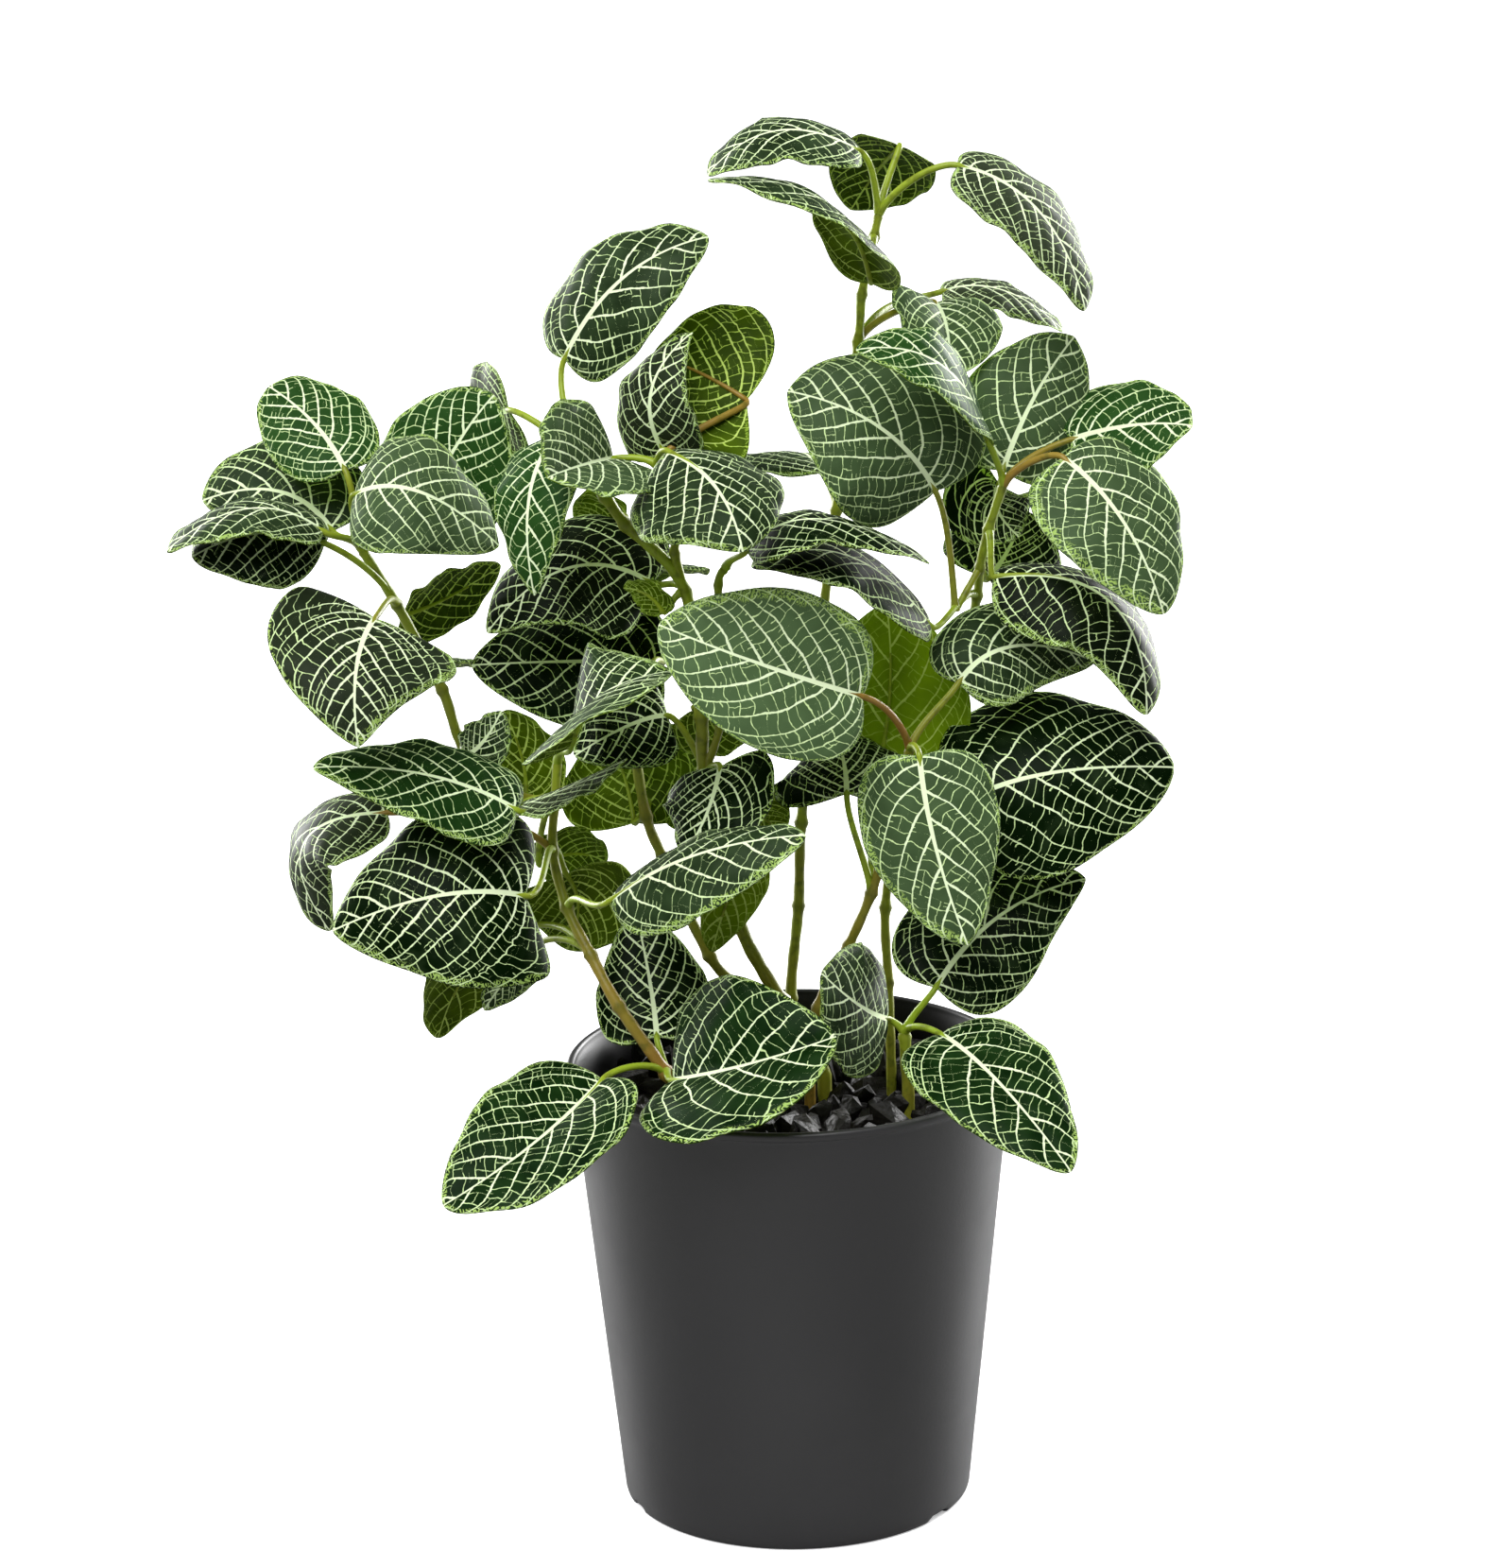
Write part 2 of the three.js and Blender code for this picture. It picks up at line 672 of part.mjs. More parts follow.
// Stems and stalks
function sweptTube(path, radii, sides) {
  const points = [];
  const triangles = [];
  let side = null;
  path.forEach((place, k) => {
    const along = path[Math.min(k + 1, path.length - 1)].clone().sub(path[Math.max(k - 1, 0)]).normalize();
    side = side ?? new THREE.Vector3(1, 0.3, 0.2);
    side = side.clone().addScaledVector(along, -side.dot(along)).normalize();
    const other = along.clone().cross(side);
    for (let j = 0; j < sides; j += 1) {
      const turn = (j * 2 * Math.PI) / sides;
      const rim = side.clone().multiplyScalar(Math.cos(turn)).addScaledVector(other, Math.sin(turn));
      points.push(place.clone().addScaledVector(rim, radii[k]));
    }
  });
  for (let k = 0; k + 1 < path.length; k += 1) {
    for (let j = 0; j < sides; j += 1) {
      const [a, b] = [k * sides + j, k * sides + ((j + 1) % sides)];
      triangles.push([a, b, b + sides], [a, b + sides, a + sides]);
    }
  }
  const last = (path.length - 1) * sides;
  for (let j = 1; j + 1 < sides; j += 1) {
    triangles.push([0, j + 1, j], [last, last + j, last + j + 1]);
  }
  return solidOf(points, triangles);
}

// A smooth path through the places, with one more point between each two.
function smoothPath(before, places) {
  const ends = [before, ...places, places.at(-1).clone().multiplyScalar(2).sub(places.at(-2))];
  const path = [];
  for (let k = 1; k + 2 < ends.length; k += 1) {
    const half = ends[k].clone().add(ends[k + 1]).multiplyScalar(9 / 16);
    path.push(ends[k], half.addScaledVector(ends[k - 1].clone().add(ends[k + 2]), -1 / 16));
  }
  path.push(places.at(-1));
  return path;
}

function stemPlaces(stem, earlier) {
  const seen = stem.points.map(placeSeen);
  if (stem.root) {
    return [new THREE.Vector3(...stem.root, ROOT_TOP), ...seen];
  }
  return [earlier[stem.from.stem][stem.from.at].clone(), ...seen];
}

function stemSolid(stem, places) {
  const foot = places[0].clone();
  const before = stem.root ? foot.clone().setZ(ROOT_TOP - 12) : foot.clone().multiplyScalar(2).sub(places[1]);
  const path = smoothPath(before, places);
  const radii = path.map((_, k) => {
    const radius = THREE.MathUtils.lerp(stem.radii[0], stem.radii[1], k / (path.length - 1));
    return k % 2 === 0 && k > 0 ? radius * NODE_SWELL : radius;
  });
  if (stem.root) {
    path.unshift(foot.setZ(ROOT_FOOT));
    radii.unshift(stem.radii[0]);
  }
  return sweptTube(path, radii, STEM_SIDES);
}

// Leaves
function midrib(leaf) {
  const [foot, middle, tip] = [leaf.foot, leaf.middle, leaf.tip].map(placeSeen);
  const pull = middle.multiplyScalar(2).sub(foot.clone().add(tip).multiplyScalar(0.5));
  return new THREE.QuadraticBezierCurve3(foot, pull, tip);
}

function halfWidth(t, { width, heart = 0 }) {
  return (width / 2) * Math.sin(Math.PI * t ** (0.68 - 0.18 * heart)) ** (0.6 + 0.2 * heart);
}

// The place on the blade at t along the midrib and u across it, and the way its upper side looks there.
function bladePlace(leaf, rib, t, u) {
  const { lift = [0, 0], lobes = [0.14, 0.14], face } = leaf;
  const half = u > 0 ? 1 : 0;
  const along = rib.getTangent(t);
  const look = new THREE.Vector3(...face);
  look.addScaledVector(along, -look.dot(along)).normalize();
  const across = along.clone().cross(look);
  const out = halfWidth(t, leaf);
  const raise = THREE.MathUtils.degToRad(lift[half]) * (1 - 0.3 * t) + BLADE_CUP * Math.abs(u);
  const back = 2 * out * lobes[half] * Math.exp(-((t / LOBE_REACH) ** 2));
  const place = rib.getPoint(t);
  place.addScaledVector(along, -back * Math.abs(u));
  place.addScaledVector(across, u * out * Math.cos(raise));
  place.addScaledVector(look, Math.abs(u) * out * Math.sin(raise));
  const normal = look.multiplyScalar(Math.cos(raise));
  normal.addScaledVector(across, -Math.sign(u) * Math.sin(raise));
  return { place, normal };
}

function relief(row, column) {
  const [t, u] = [BLADE_ROWS[row], BLADE_COLUMNS[column]];
  const quilt = Math.abs(u) === 0.5 ? QUILT * (-1) ** row : 0;
  return quilt + MARGIN_WAVE * u ** 4 * Math.sin(5 * Math.PI * t);
}

function bladeSolid(leaf, rib) {
  const points = [];
  const triangles = [];
  const lastRow = BLADE_ROWS.length - 1;
  const lastColumn = BLADE_COLUMNS.length - 1;
  const number = new Map();
  BLADE_ROWS.forEach((t, row) => {
    const pole = row === 0 || row === lastRow;
    const columns = pole ? [2] : BLADE_COLUMNS.keys();
    for (const column of columns) {
      const { place, normal } = bladePlace(leaf, rib, t, BLADE_COLUMNS[column]);
      const raised = pole ? 0 : relief(row, column);
      const ridge = column === 2 ? RIB_DEPTH * (1 - 0.7 * t) : 0;
      number.set(`${row} ${column}`, points.length);
      points.push(place.clone().addScaledVector(normal, raised + BLADE / 2));
      points.push(place.clone().addScaledVector(normal, raised - BLADE / 2 - ridge));
    }
  });
  const at = (row, column) => number.get(`${row} ${row === 0 || row === lastRow ? 2 : column}`);
  const bothFaces = (a, b, c) => {
    if (a !== b && b !== c && c !== a) {
      triangles.push([a, b, c], [a + 1, c + 1, b + 1]);
    }
  };
  const edge = (a, b) => triangles.push([a + 1, b + 1, b], [a + 1, b, a]);
  for (let row = 0; row < lastRow; row += 1) {
    for (let column = 0; column < lastColumn; column += 1) {
      bothFaces(at(row, column), at(row, column + 1), at(row + 1, column + 1));
      bothFaces(at(row, column), at(row + 1, column + 1), at(row + 1, column));
    }
    edge(at(row, lastColumn), at(row + 1, lastColumn));
    edge(at(row + 1, 0), at(row, 0));
  }
  return solidOf(points, triangles);
}

// A stalk springs up from its node, bends over to the leaf's foot and runs on into the midrib.
function stalkSolid(node, leaf, rib) {
  const foot = rib.getPoint(0);
  const along = rib.getTangent(0);
  const span = foot.distanceTo(node);
  const leave = foot.clone().sub(node).normalize().multiplyScalar(0.6).add(new THREE.Vector3(0, 0, 0.5));
  leave.setLength(span);
  const arrive = along.clone().multiplyScalar(span * 0.9);
  const path = [0, 0.5, 1].map((t) => {
    const place = node.clone().multiplyScalar(2 * t ** 3 - 3 * t ** 2 + 1);
    place.addScaledVector(leave, t ** 3 - 2 * t ** 2 + t);
    place.addScaledVector(foot, 3 * t ** 2 - 2 * t ** 3);
    return place.addScaledVector(arrive, t ** 3 - t ** 2);
  });
  const sunk = bladePlace(leaf, rib, 0.09, 0);
  path.push(sunk.place);
  path.slice(-2).forEach((place) => place.addScaledVector(sunk.normal, -RIB_DEPTH / 2));
  const radii = path.map((_, k) => THREE.MathUtils.lerp(STALK_RADIUS[0], STALK_RADIUS[1], k / 3));
  return sweptTube(path, radii, STALK_SIDES);
}

function leafyStem({ stems, leaves }) {
  const places = [];
  stems.forEach((stem) => places.push(stemPlaces(stem, places)));
  let solid = stems.map((stem, k) => stemSolid(stem, places[k])).reduce((all, next) => all.add(next));
  for (const leaf of leaves) {
    const rib = midrib(leaf);
    solid = solid.add(stalkSolid(places[leaf.on ?? 0][leaf.at], leaf, rib));
    solid = solid.add(bladeSolid(leaf, rib));
  }
  return solid;
}

const group = new THREE.Group();
group.name = 'potted_nerve_plant';
group.add(meshOf('pot', pot(), 0x1a1a1c, 0.45));
group.add(meshOf('potting_mix', pottingMix(), 0x2a211b, 1));
group.add(meshOf('top_stones', topStones(), 0x33343a, 0.9));
for (const [name, shoot] of Object.entries(SHOOTS)) {
  group.add(meshOf(name, leafyStem(shoot), name === 'low_shoot' ? 0x4d7a35 : 0x2f4f36, 0.6));
}

export default group;
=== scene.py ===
"""Visual model of the potted nerve plant: veined blades, stems, stalks, stones and pot.

Sizes are in millimetres until a mesh is made, and in metres in the scene. +Z is up, +Y is away from
the front, and the origin is on the pot's axis at its foot.
"""

import json
import logging
import math
from dataclasses import dataclass, field
from enum import Enum

import bmesh
import bpy
import numpy as np
from mathutils import Matrix, Vector

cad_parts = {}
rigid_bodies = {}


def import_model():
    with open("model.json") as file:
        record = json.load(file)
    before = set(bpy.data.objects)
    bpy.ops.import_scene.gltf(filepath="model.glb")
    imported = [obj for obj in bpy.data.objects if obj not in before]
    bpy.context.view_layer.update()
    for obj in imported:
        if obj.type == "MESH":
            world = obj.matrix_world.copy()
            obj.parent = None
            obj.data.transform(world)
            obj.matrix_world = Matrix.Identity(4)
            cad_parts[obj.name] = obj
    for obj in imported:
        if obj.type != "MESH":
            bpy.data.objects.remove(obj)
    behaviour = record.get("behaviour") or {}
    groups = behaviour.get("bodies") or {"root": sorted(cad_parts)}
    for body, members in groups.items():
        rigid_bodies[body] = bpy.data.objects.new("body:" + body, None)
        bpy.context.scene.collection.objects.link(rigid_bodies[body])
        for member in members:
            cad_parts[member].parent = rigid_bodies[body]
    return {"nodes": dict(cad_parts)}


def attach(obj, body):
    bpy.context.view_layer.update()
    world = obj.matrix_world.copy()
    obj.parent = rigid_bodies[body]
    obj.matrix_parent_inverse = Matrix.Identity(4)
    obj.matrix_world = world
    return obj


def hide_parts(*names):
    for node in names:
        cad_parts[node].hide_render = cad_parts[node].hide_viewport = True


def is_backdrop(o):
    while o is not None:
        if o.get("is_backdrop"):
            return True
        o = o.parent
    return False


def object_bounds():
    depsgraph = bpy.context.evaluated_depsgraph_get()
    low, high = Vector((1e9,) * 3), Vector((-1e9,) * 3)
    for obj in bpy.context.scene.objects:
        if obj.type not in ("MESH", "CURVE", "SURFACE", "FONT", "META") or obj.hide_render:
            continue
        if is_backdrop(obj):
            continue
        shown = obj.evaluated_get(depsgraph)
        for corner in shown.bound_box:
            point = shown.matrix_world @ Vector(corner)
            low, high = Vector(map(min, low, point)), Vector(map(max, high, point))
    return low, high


MM = 0.001
LOG = logging.getLogger("nerve_plant")
WHITE = (1.0, 1.0, 1.0, 1.0)
# The side veins of a blade's two halves leave the midrib this share of a step apart.
HALF_SHIFT = 0.45
# How far apart the leaves' numbers set their patterns, in millimetres.
SEED_STEP = 40
# Least values that keep a division from failing: of a plain value, and of a squared length.
TINY = 1e-6
TINY_SQUARE = 1e-9

Colour = tuple[float, float, float]
Places = np.ndarray
# A column and a row of the photograph's frame, and a depth behind the pot's axis in millimetres.
Reading = tuple[float, float, float]
# A noise's scale and detail, and the two values between which a pattern fades in.
Pattern = tuple[float, float, float, float]


class ToneAndShade(Enum):
    """How light a blade's ground is, from 0 to 1, and its tint, from -1 for grey to 1 for fresh. Besides the
    print's own range, the lightness is painted light and shade for how each leaf is lit, and the grey tint
    partly paints a grey sheen.
    """

    DEEP = (0.0, 0.0)
    DEEP_GREY = (0.0, -1.0)
    DEEP_FRESH = (0.13, 0.8)
    MIDDLE = (0.22, 0.0)
    MIDDLE_GREY = (0.28, -1.0)
    MIDDLE_FRESH = (0.28, 1.0)
    LIGHT = (0.6, 0.0)
    LIGHT_GREY = (0.6, -1.0)
    LIGHT_FRESH = (0.6, 1.0)
    PALE = (0.85, 0.0)


@dataclass(frozen=True)
class PhotoEye:
    """The photograph's eye, which turns readings into real places."""

    frame: tuple[int, int] = (1600, 1659)
    elevation: float = math.radians(16.1)
    distance: float = 1360.0
    aim_height: float = 194.5
    focal_pixels: float = 5461.0
    roll: float = math.radians(1.0)
    aim_pixel: tuple[float, float] = (831.8, 843.8)
    sensor: float = 36.0
    far_limit: float = 20.0

    def axes(self) -> tuple[Places, Places, Places]:
        """Works out the eye's axes before its roll.

        Returns:
            The right, up and forward directions.
        """
        forward = np.array([0.0, math.cos(self.elevation), -math.sin(self.elevation)])
        upward = np.array([0.0, math.sin(self.elevation), math.cos(self.elevation)])
        return np.array([1.0, 0.0, 0.0]), upward, forward

    def place(self, reading: Reading) -> Places:
        """Turns a reading into a real place.

        Args:
            reading: column, row and depth.

        Returns:
            The place in millimetres.
        """
        right, upward, forward = self.axes()
        across = reading[0] - self.aim_pixel[0]
        rise = self.aim_pixel[1] - reading[1]
        x = (math.cos(self.roll) * across + math.sin(self.roll) * rise) / self.focal_pixels
        y = (math.cos(self.roll) * rise - math.sin(self.roll) * across) / self.focal_pixels
        eye = np.array([0.0, 0.0, self.aim_height]) - forward * self.distance
        ray = forward + right * x + upward * y
        return eye + ray * (reading[2] - eye[1]) / ray[1]

    def make_camera(self) -> bpy.types.Object:
        """Makes the scene's camera.

        Returns:
            The camera object.
        """
        right, upward, forward = self.axes()
        turned_right = math.cos(self.roll) * right - math.sin(self.roll) * upward
        turned_up = math.sin(self.roll) * right + math.cos(self.roll) * upward
        eye = (np.array([0.0, 0.0, self.aim_height]) - forward * self.distance) * MM
        data = bpy.data.cameras.new("photo_camera")
        data.sensor_width = self.sensor
        data.lens = self.focal_pixels * self.sensor / max(self.frame)
        data.shift_x = (self.frame[0] / 2 - self.aim_pixel[0]) / max(self.frame)
        data.shift_y = (self.aim_pixel[1] - self.frame[1] / 2) / max(self.frame)
        data.clip_end = self.far_limit
        camera = bpy.data.objects.new("photo_camera", data)
        bpy.context.scene.collection.objects.link(camera)
        camera.matrix_world = Matrix(
            [[*row, end] for row, end in zip(np.column_stack([turned_right, turned_up, -forward]), eye)]
            + [[0, 0, 0, 1]]
        )
        bpy.context.scene.camera = camera
        return camera


@dataclass(frozen=True)
class Stem:
    """A stem that starts at its root in the mix, or from a point of an earlier stem of its shoot."""

    radii: tuple[float, float]
    points: tuple[Reading, ...]
    root: tuple[float, float] | None = None
    start: tuple[int, int] = (0, 0)
    age: tuple[float, float] = (1.0, 0.45)


@dataclass(frozen=True)
class Leaf:
    """A leaf on stem `on` at its point `at`.

    `lift`, `lobes` and `heart` shape its two halves. `band` is how wide the fine net runs along their
    margins, and `age` is its stalk's.
    """

    at: int
    foot: Reading
    middle: Reading
    tip: Reading
    face: tuple[float, float, float]
    width: float
    on: int = 0
    lift: tuple[float, float] = (0.0, 0.0)
    lobes: tuple[float, float] = (0.14, 0.14)
    heart: float = 0.0
    band: tuple[float, float] = (1.1, 1.1)
    age: float = 0.3
    veins: float = 1.0
    # The print's tone together with painted light and shade for how this leaf is lit.
    tone: ToneAndShade = ToneAndShade.MIDDLE


@dataclass(frozen=True)
class Shoot:
    """One leafy stem of the plant, under its CAD node's name."""

    node: str
    stems: tuple[Stem, ...]
    leaves: tuple[Leaf, ...]


SHOOTS = (
    Shoot(node="tall_stem", stems=(
        Stem(root=(3, 10), radii=(1.5, 1.15), age=(0.85, 0.45), points=(
            (837, 1056, 12), (845, 958, 15), (848, 870, 17), (862, 720, 15), (885, 540, 10),
            (908, 361, 6), (912, 311, 5), (925, 250, 4), (930, 225, 4),
        )),
    ), leaves=(
        Leaf(at=9, foot=(910, 160, 2), middle=(822, 139, -2), tip=(749, 186, -4), face=(0, -0.25, 1),
             width=30),
        Leaf(at=9, foot=(952, 154, 12), middle=(928, 180, 24), tip=(900, 222, 34), face=(0.15, 0.8, 0.6),
             width=28, tone=ToneAndShade.DEEP),
        Leaf(at=9, foot=(1014, 175, 0), middle=(1100, 225, -5), tip=(1148, 329, -12),
             face=(0.5, -0.45, 0.75), width=30, band=(0.8, 1.6), veins=1.2, tone=ToneAndShade.LIGHT_GREY),
        Leaf(at=8, foot=(922, 299, -4), middle=(872, 213, -20), tip=(749, 190, -15),
             face=(0.2, -0.05, 0.97), width=28),
        Leaf(at=6, foot=(989, 320, 24), middle=(1002, 350, 12), tip=(1005, 400, 2), face=(0, -0.5, 0.86),
             width=31, lift=(0, 45), age=1.2, tone=ToneAndShade.LIGHT),
        Leaf(at=6, foot=(998, 308, 41), middle=(1062, 308, 40), tip=(1125, 351, 38),
             face=(0.3, -0.15, 0.95), width=26, tone=ToneAndShade.LIGHT_GREY),
        Leaf(at=4, foot=(880, 700, 34), middle=(905, 690, 50), tip=(940, 700, 66), face=(0, 0.5, 0.85),
             width=40),
        Leaf(at=5, foot=(870, 500, 28), middle=(850, 480, 46), tip=(830, 490, 62), face=(0, 0.5, 0.85),
             width=38),
    )),
    Shoot(node="centre_stem", stems=(
        Stem(root=(9, 0), radii=(2, 1.4), points=(
            (827, 1059, -2), (779, 968, -6), (746, 818, -10), (742, 759, -12), (725, 625, -14),
            (662, 555, -14), (640, 525, -12), (606, 485, -8),
        )),
        Stem(start=(0, 5), radii=(1.2, 1.1), points=(
            (714, 585, -15), (716, 555, -15), (695, 492, -14),
        )),
        Stem(start=(0, 3), radii=(1.1, 1), points=(
            (762, 765, -17), (764, 690, -22), (760, 619, -25), (768, 600, -25),
        )),
    ), leaves=(
        Leaf(at=8, foot=(538, 434, 6), middle=(516, 442, 20), tip=(497, 456, 32),
             face=(-0.86, -0.36, -0.3), width=28, tone=ToneAndShade.LIGHT_GREY),
        Leaf(at=8, foot=(597, 380, 2), middle=(660, 294, 0), tip=(750, 251, 4), face=(-0.2, -0.7, 0.65),
             width=34, lift=(-5, 0), lobes=(0.2, 0.2)),
        Leaf(at=8, foot=(588, 462, -11), middle=(560, 530, -28), tip=(566, 630, -33),
             face=(-0.5, -0.8, 0.35), width=26, heart=0.4, tone=ToneAndShade.LIGHT_FRESH),
        Leaf(at=5, foot=(690, 617, -3), middle=(600, 602, -4), tip=(516, 670, -8), face=(-0.2, -0.6, 0.8),
             width=42, heart=0.5, tone=ToneAndShade.DEEP_GREY),
        Leaf(at=5, foot=(703, 648, -16), middle=(685, 628, -16), tip=(660, 622, -14),
             face=(0.2, 0.9, 0.3), width=10),
        Leaf(at=6, foot=(655, 560, 13), middle=(635, 550, 17), tip=(608, 552, 21), face=(0, 0.9, 0.3),
             width=22),
        Leaf(at=3, foot=(706, 757, -6), middle=(665, 768, -10), tip=(608, 800, -11),
             face=(-0.1, -0.8, 0.6), width=26, tone=ToneAndShade.DEEP),
        Leaf(at=3, foot=(762, 811, -17), middle=(748, 862, -27), tip=(722, 908, -30),
             face=(-0.4, -0.6, 0.7), width=32, lobes=(0.35, 0.14), tone=ToneAndShade.DEEP),
        Leaf(at=2, foot=(790, 905, -18), middle=(772, 945, -20), tip=(753, 1007, -22), face=(0, 0.9, 0.4),
             width=18, tone=ToneAndShade.LIGHT),
        Leaf(at=3, foot=(785, 845, 1), middle=(805, 862, 4), tip=(830, 880, 7), face=(0, 0.9, 0.4),
             width=20),
        Leaf(at=5, foot=(700, 600, 14), middle=(660, 600, 34), tip=(620, 620, 52), face=(-0.2, 0.5, 0.85),
             width=38),
        Leaf(on=1, at=3, foot=(702, 477, -10), middle=(690, 412, -12), tip=(733, 352, -5),
             face=(-0.5, -0.7, 0.5), width=26, lobes=(0.3, 0.3), heart=0.9, tone=ToneAndShade.MIDDLE_GREY),
        Leaf(on=1, at=3, foot=(790, 424, 0), middle=(737, 394, 8), tip=(690, 377, 16),
             face=(-0.2, 0.85, -0.45), width=44, lobes=(0.02, 0.5), age=1.7, tone=ToneAndShade.DEEP),
        Leaf(on=1, at=3, foot=(649, 485, -13), middle=(613, 494, -30), tip=(579, 506, -42),
             face=(-0.1, -0.5, 0.85), width=36, lift=(0, 70), lobes=(0.3, 0.1), heart=0.2,
             tone=ToneAndShade.LIGHT),
        Leaf(on=1, at=3, foot=(706, 477, -23), middle=(758, 516, -41), tip=(786, 584, -51),
             face=(-0.2, -0.75, 0.6), width=46, lift=(-45, 0), band=(1, 2.4)),
        Leaf(on=2, at=4, foot=(790, 583, -32), middle=(868, 550, -28), tip=(984, 596, -24),
             face=(0.1, -0.05, 1), width=30, tone=ToneAndShade.DEEP),
        Leaf(on=2, at=1, foot=(735, 750, -1), middle=(765, 764, 3), tip=(800, 768, 5), face=(0, 0.9, 0.4),
             width=24),
    )),
    Shoot(node="back_stem", stems=(
        Stem(root=(6, 16), radii=(1.6, 1.3), age=(1.3, 0.8), points=(
            (788, 1050, 16), (751, 1011, 15), (701, 906, 14), (684, 864, 13), (673, 800, 11),
            (672, 760, 9), (690, 705, 6),
        )),
    ), leaves=(
        Leaf(at=7, foot=(700, 702, 19), middle=(610, 700, 17), tip=(499, 704, 15),
             face=(-0.1, -0.85, 0.5), width=38, tone=ToneAndShade.DEEP),
        Leaf(at=4, foot=(671, 871, 18), middle=(660, 820, 25), tip=(640, 770, 29),
             face=(-0.1, 0.95, -0.2), width=38),
        Leaf(at=5, foot=(684, 838, 28), middle=(706, 812, 32), tip=(733, 770, 35), face=(0.1, 0.95, 0.1),
             width=34),
        Leaf(at=4, foot=(700, 850, 46), middle=(730, 840, 62), tip=(760, 850, 76), face=(0.2, 0.6, 0.8),
             width=34),
    )),
    Shoot(node="left_stem", stems=(
        Stem(root=(-27, -24), radii=(1.76, 1.2), age=(1.9, 0.6), points=(
            (705, 1135, -27), (655, 1065, -27), (625, 1010, -21), (600, 960, -14), (585, 900, -8),
            (587, 850, -6), (590, 805, -6),
        )),
        Stem(start=(0, 6), radii=(1.5, 1.3), points=(
            (545, 840, 2), (491, 790, 2), (468, 730, 0), (420, 640, -5), (382, 580, -8),
        )),
    ), leaves=(
        Leaf(at=1, foot=(638, 1142, -40), middle=(564, 1211, -62), tip=(469, 1276, -74),
             face=(-0.2, -0.85, 0.5), width=42, lift=(45, 0), lobes=(0.02, 0.2), band=(1.2, 1.6),
             veins=1.1, age=0.1, tone=ToneAndShade.DEEP_FRESH),
        Leaf(at=1, foot=(712, 1143, -40), middle=(790, 1127, -58), tip=(885, 1097, -62),
             face=(-0.1, -0.7, 0.7), width=50, lift=(30, 32), lobes=(0.16, 0.02), band=(0.9, 1.4),
             age=0.1, tone=ToneAndShade.DEEP_FRESH),
        Leaf(at=1, foot=(695, 1097, -24), middle=(688, 1040, -14), tip=(673, 965, -4),
             face=(0, -0.95, 0.3), width=31, age=0, tone=ToneAndShade.DEEP),
        Leaf(at=3, foot=(545, 985, 8), middle=(495, 1025, 16), tip=(463, 1098, 20), face=(-0.5, 0.8, 0.3),
             width=30),
        Leaf(at=3, foot=(560, 1005, -4), middle=(540, 1030, -3), tip=(512, 1069, -5),
             face=(-0.3, -0.8, 0.5), width=14),
        Leaf(at=5, foot=(410, 860, -6), middle=(322, 893, -8), tip=(350, 985, -10),
             face=(-0.7, -0.3, 0.65), width=34, age=1.5, tone=ToneAndShade.MIDDLE_GREY),
        Leaf(at=5, foot=(556, 948, -38), middle=(462, 948, -46), tip=(352, 985, -40),
             face=(-0.2, -0.85, 0.5), width=50, lobes=(0.42, 0.25), heart=0.2, band=(2, 0.8), veins=1.2,
             tone=ToneAndShade.DEEP),
        Leaf(at=6, foot=(547, 857, -34), middle=(450, 820, -38), tip=(331, 813, -44),
             face=(-0.1, -0.45, 0.88), width=34, heart=0.2, band=(1.8, 0.9), age=0,
             tone=ToneAndShade.MIDDLE_FRESH),
        Leaf(at=6, foot=(549, 853, -25), middle=(607, 832, -25), tip=(664, 803, -25),
             face=(-0.3, 0.1, 0.95), width=26, age=0, tone=ToneAndShade.LIGHT_GREY),
        Leaf(at=7, foot=(604, 790, -26), middle=(634, 738, -38), tip=(710, 711, -33),
             face=(-0.3, -0.6, 0.75), width=44, lift=(0, 55), lobes=(0.3, 0), band=(2.4, 0.8), veins=1.2,
             age=0),
        Leaf(at=4, foot=(645, 953, -41), middle=(735, 905, -51), tip=(853, 884, -56),
             face=(-0.05, -0.7, 0.7), width=34, lift=(-40, 0), lobes=(0.14, 0.04), band=(0.8, 2.4)),
        Leaf(at=6, foot=(572, 915, 9), middle=(607, 902, 13), tip=(642, 912, 15), face=(0, 0.9, 0.3),
             width=20),
        Leaf(at=5, foot=(600, 925, -1), middle=(612, 960, 3), tip=(600, 1005, 5), face=(0, 0.9, 0.4),
             width=36),
        Leaf(at=4, foot=(580, 950, 20), middle=(540, 950, 40), tip=(490, 960, 56), face=(-0.3, 0.6, 0.8),
             width=38),
        Leaf(on=1, at=2, foot=(493, 800, -6), middle=(513, 783, -6), tip=(531, 752, -4),
             face=(-0.3, -0.8, 0.5), width=16),
        Leaf(on=1, at=2, foot=(557, 846, 14), middle=(553, 800, 18), tip=(533, 752, 20),
             face=(0.2, 0.9, 0.3), width=26),
        Leaf(on=1, at=5, foot=(365, 497, -8), middle=(332, 448, 2), tip=(284, 409, 14),
             face=(0, -0.7, 0.7), width=29, lobes=(0.08, 0.08), heart=-0.8, age=0.7,
             tone=ToneAndShade.LIGHT_FRESH),
        Leaf(on=1, at=5, foot=(352, 562, -2), middle=(295, 520, 6), tip=(214, 530, 8),
             face=(0, -0.85, 0.5), width=36, lobes=(0.05, 0.05)),
        Leaf(on=1, at=4, foot=(344, 575, -14), middle=(275, 564, -16), tip=(203, 590, -20),
             face=(-0.1, -0.8, 0.6), width=30, lift=(0, -35), lobes=(0.05, 0.1), heart=-0.5,
             tone=ToneAndShade.DEEP),
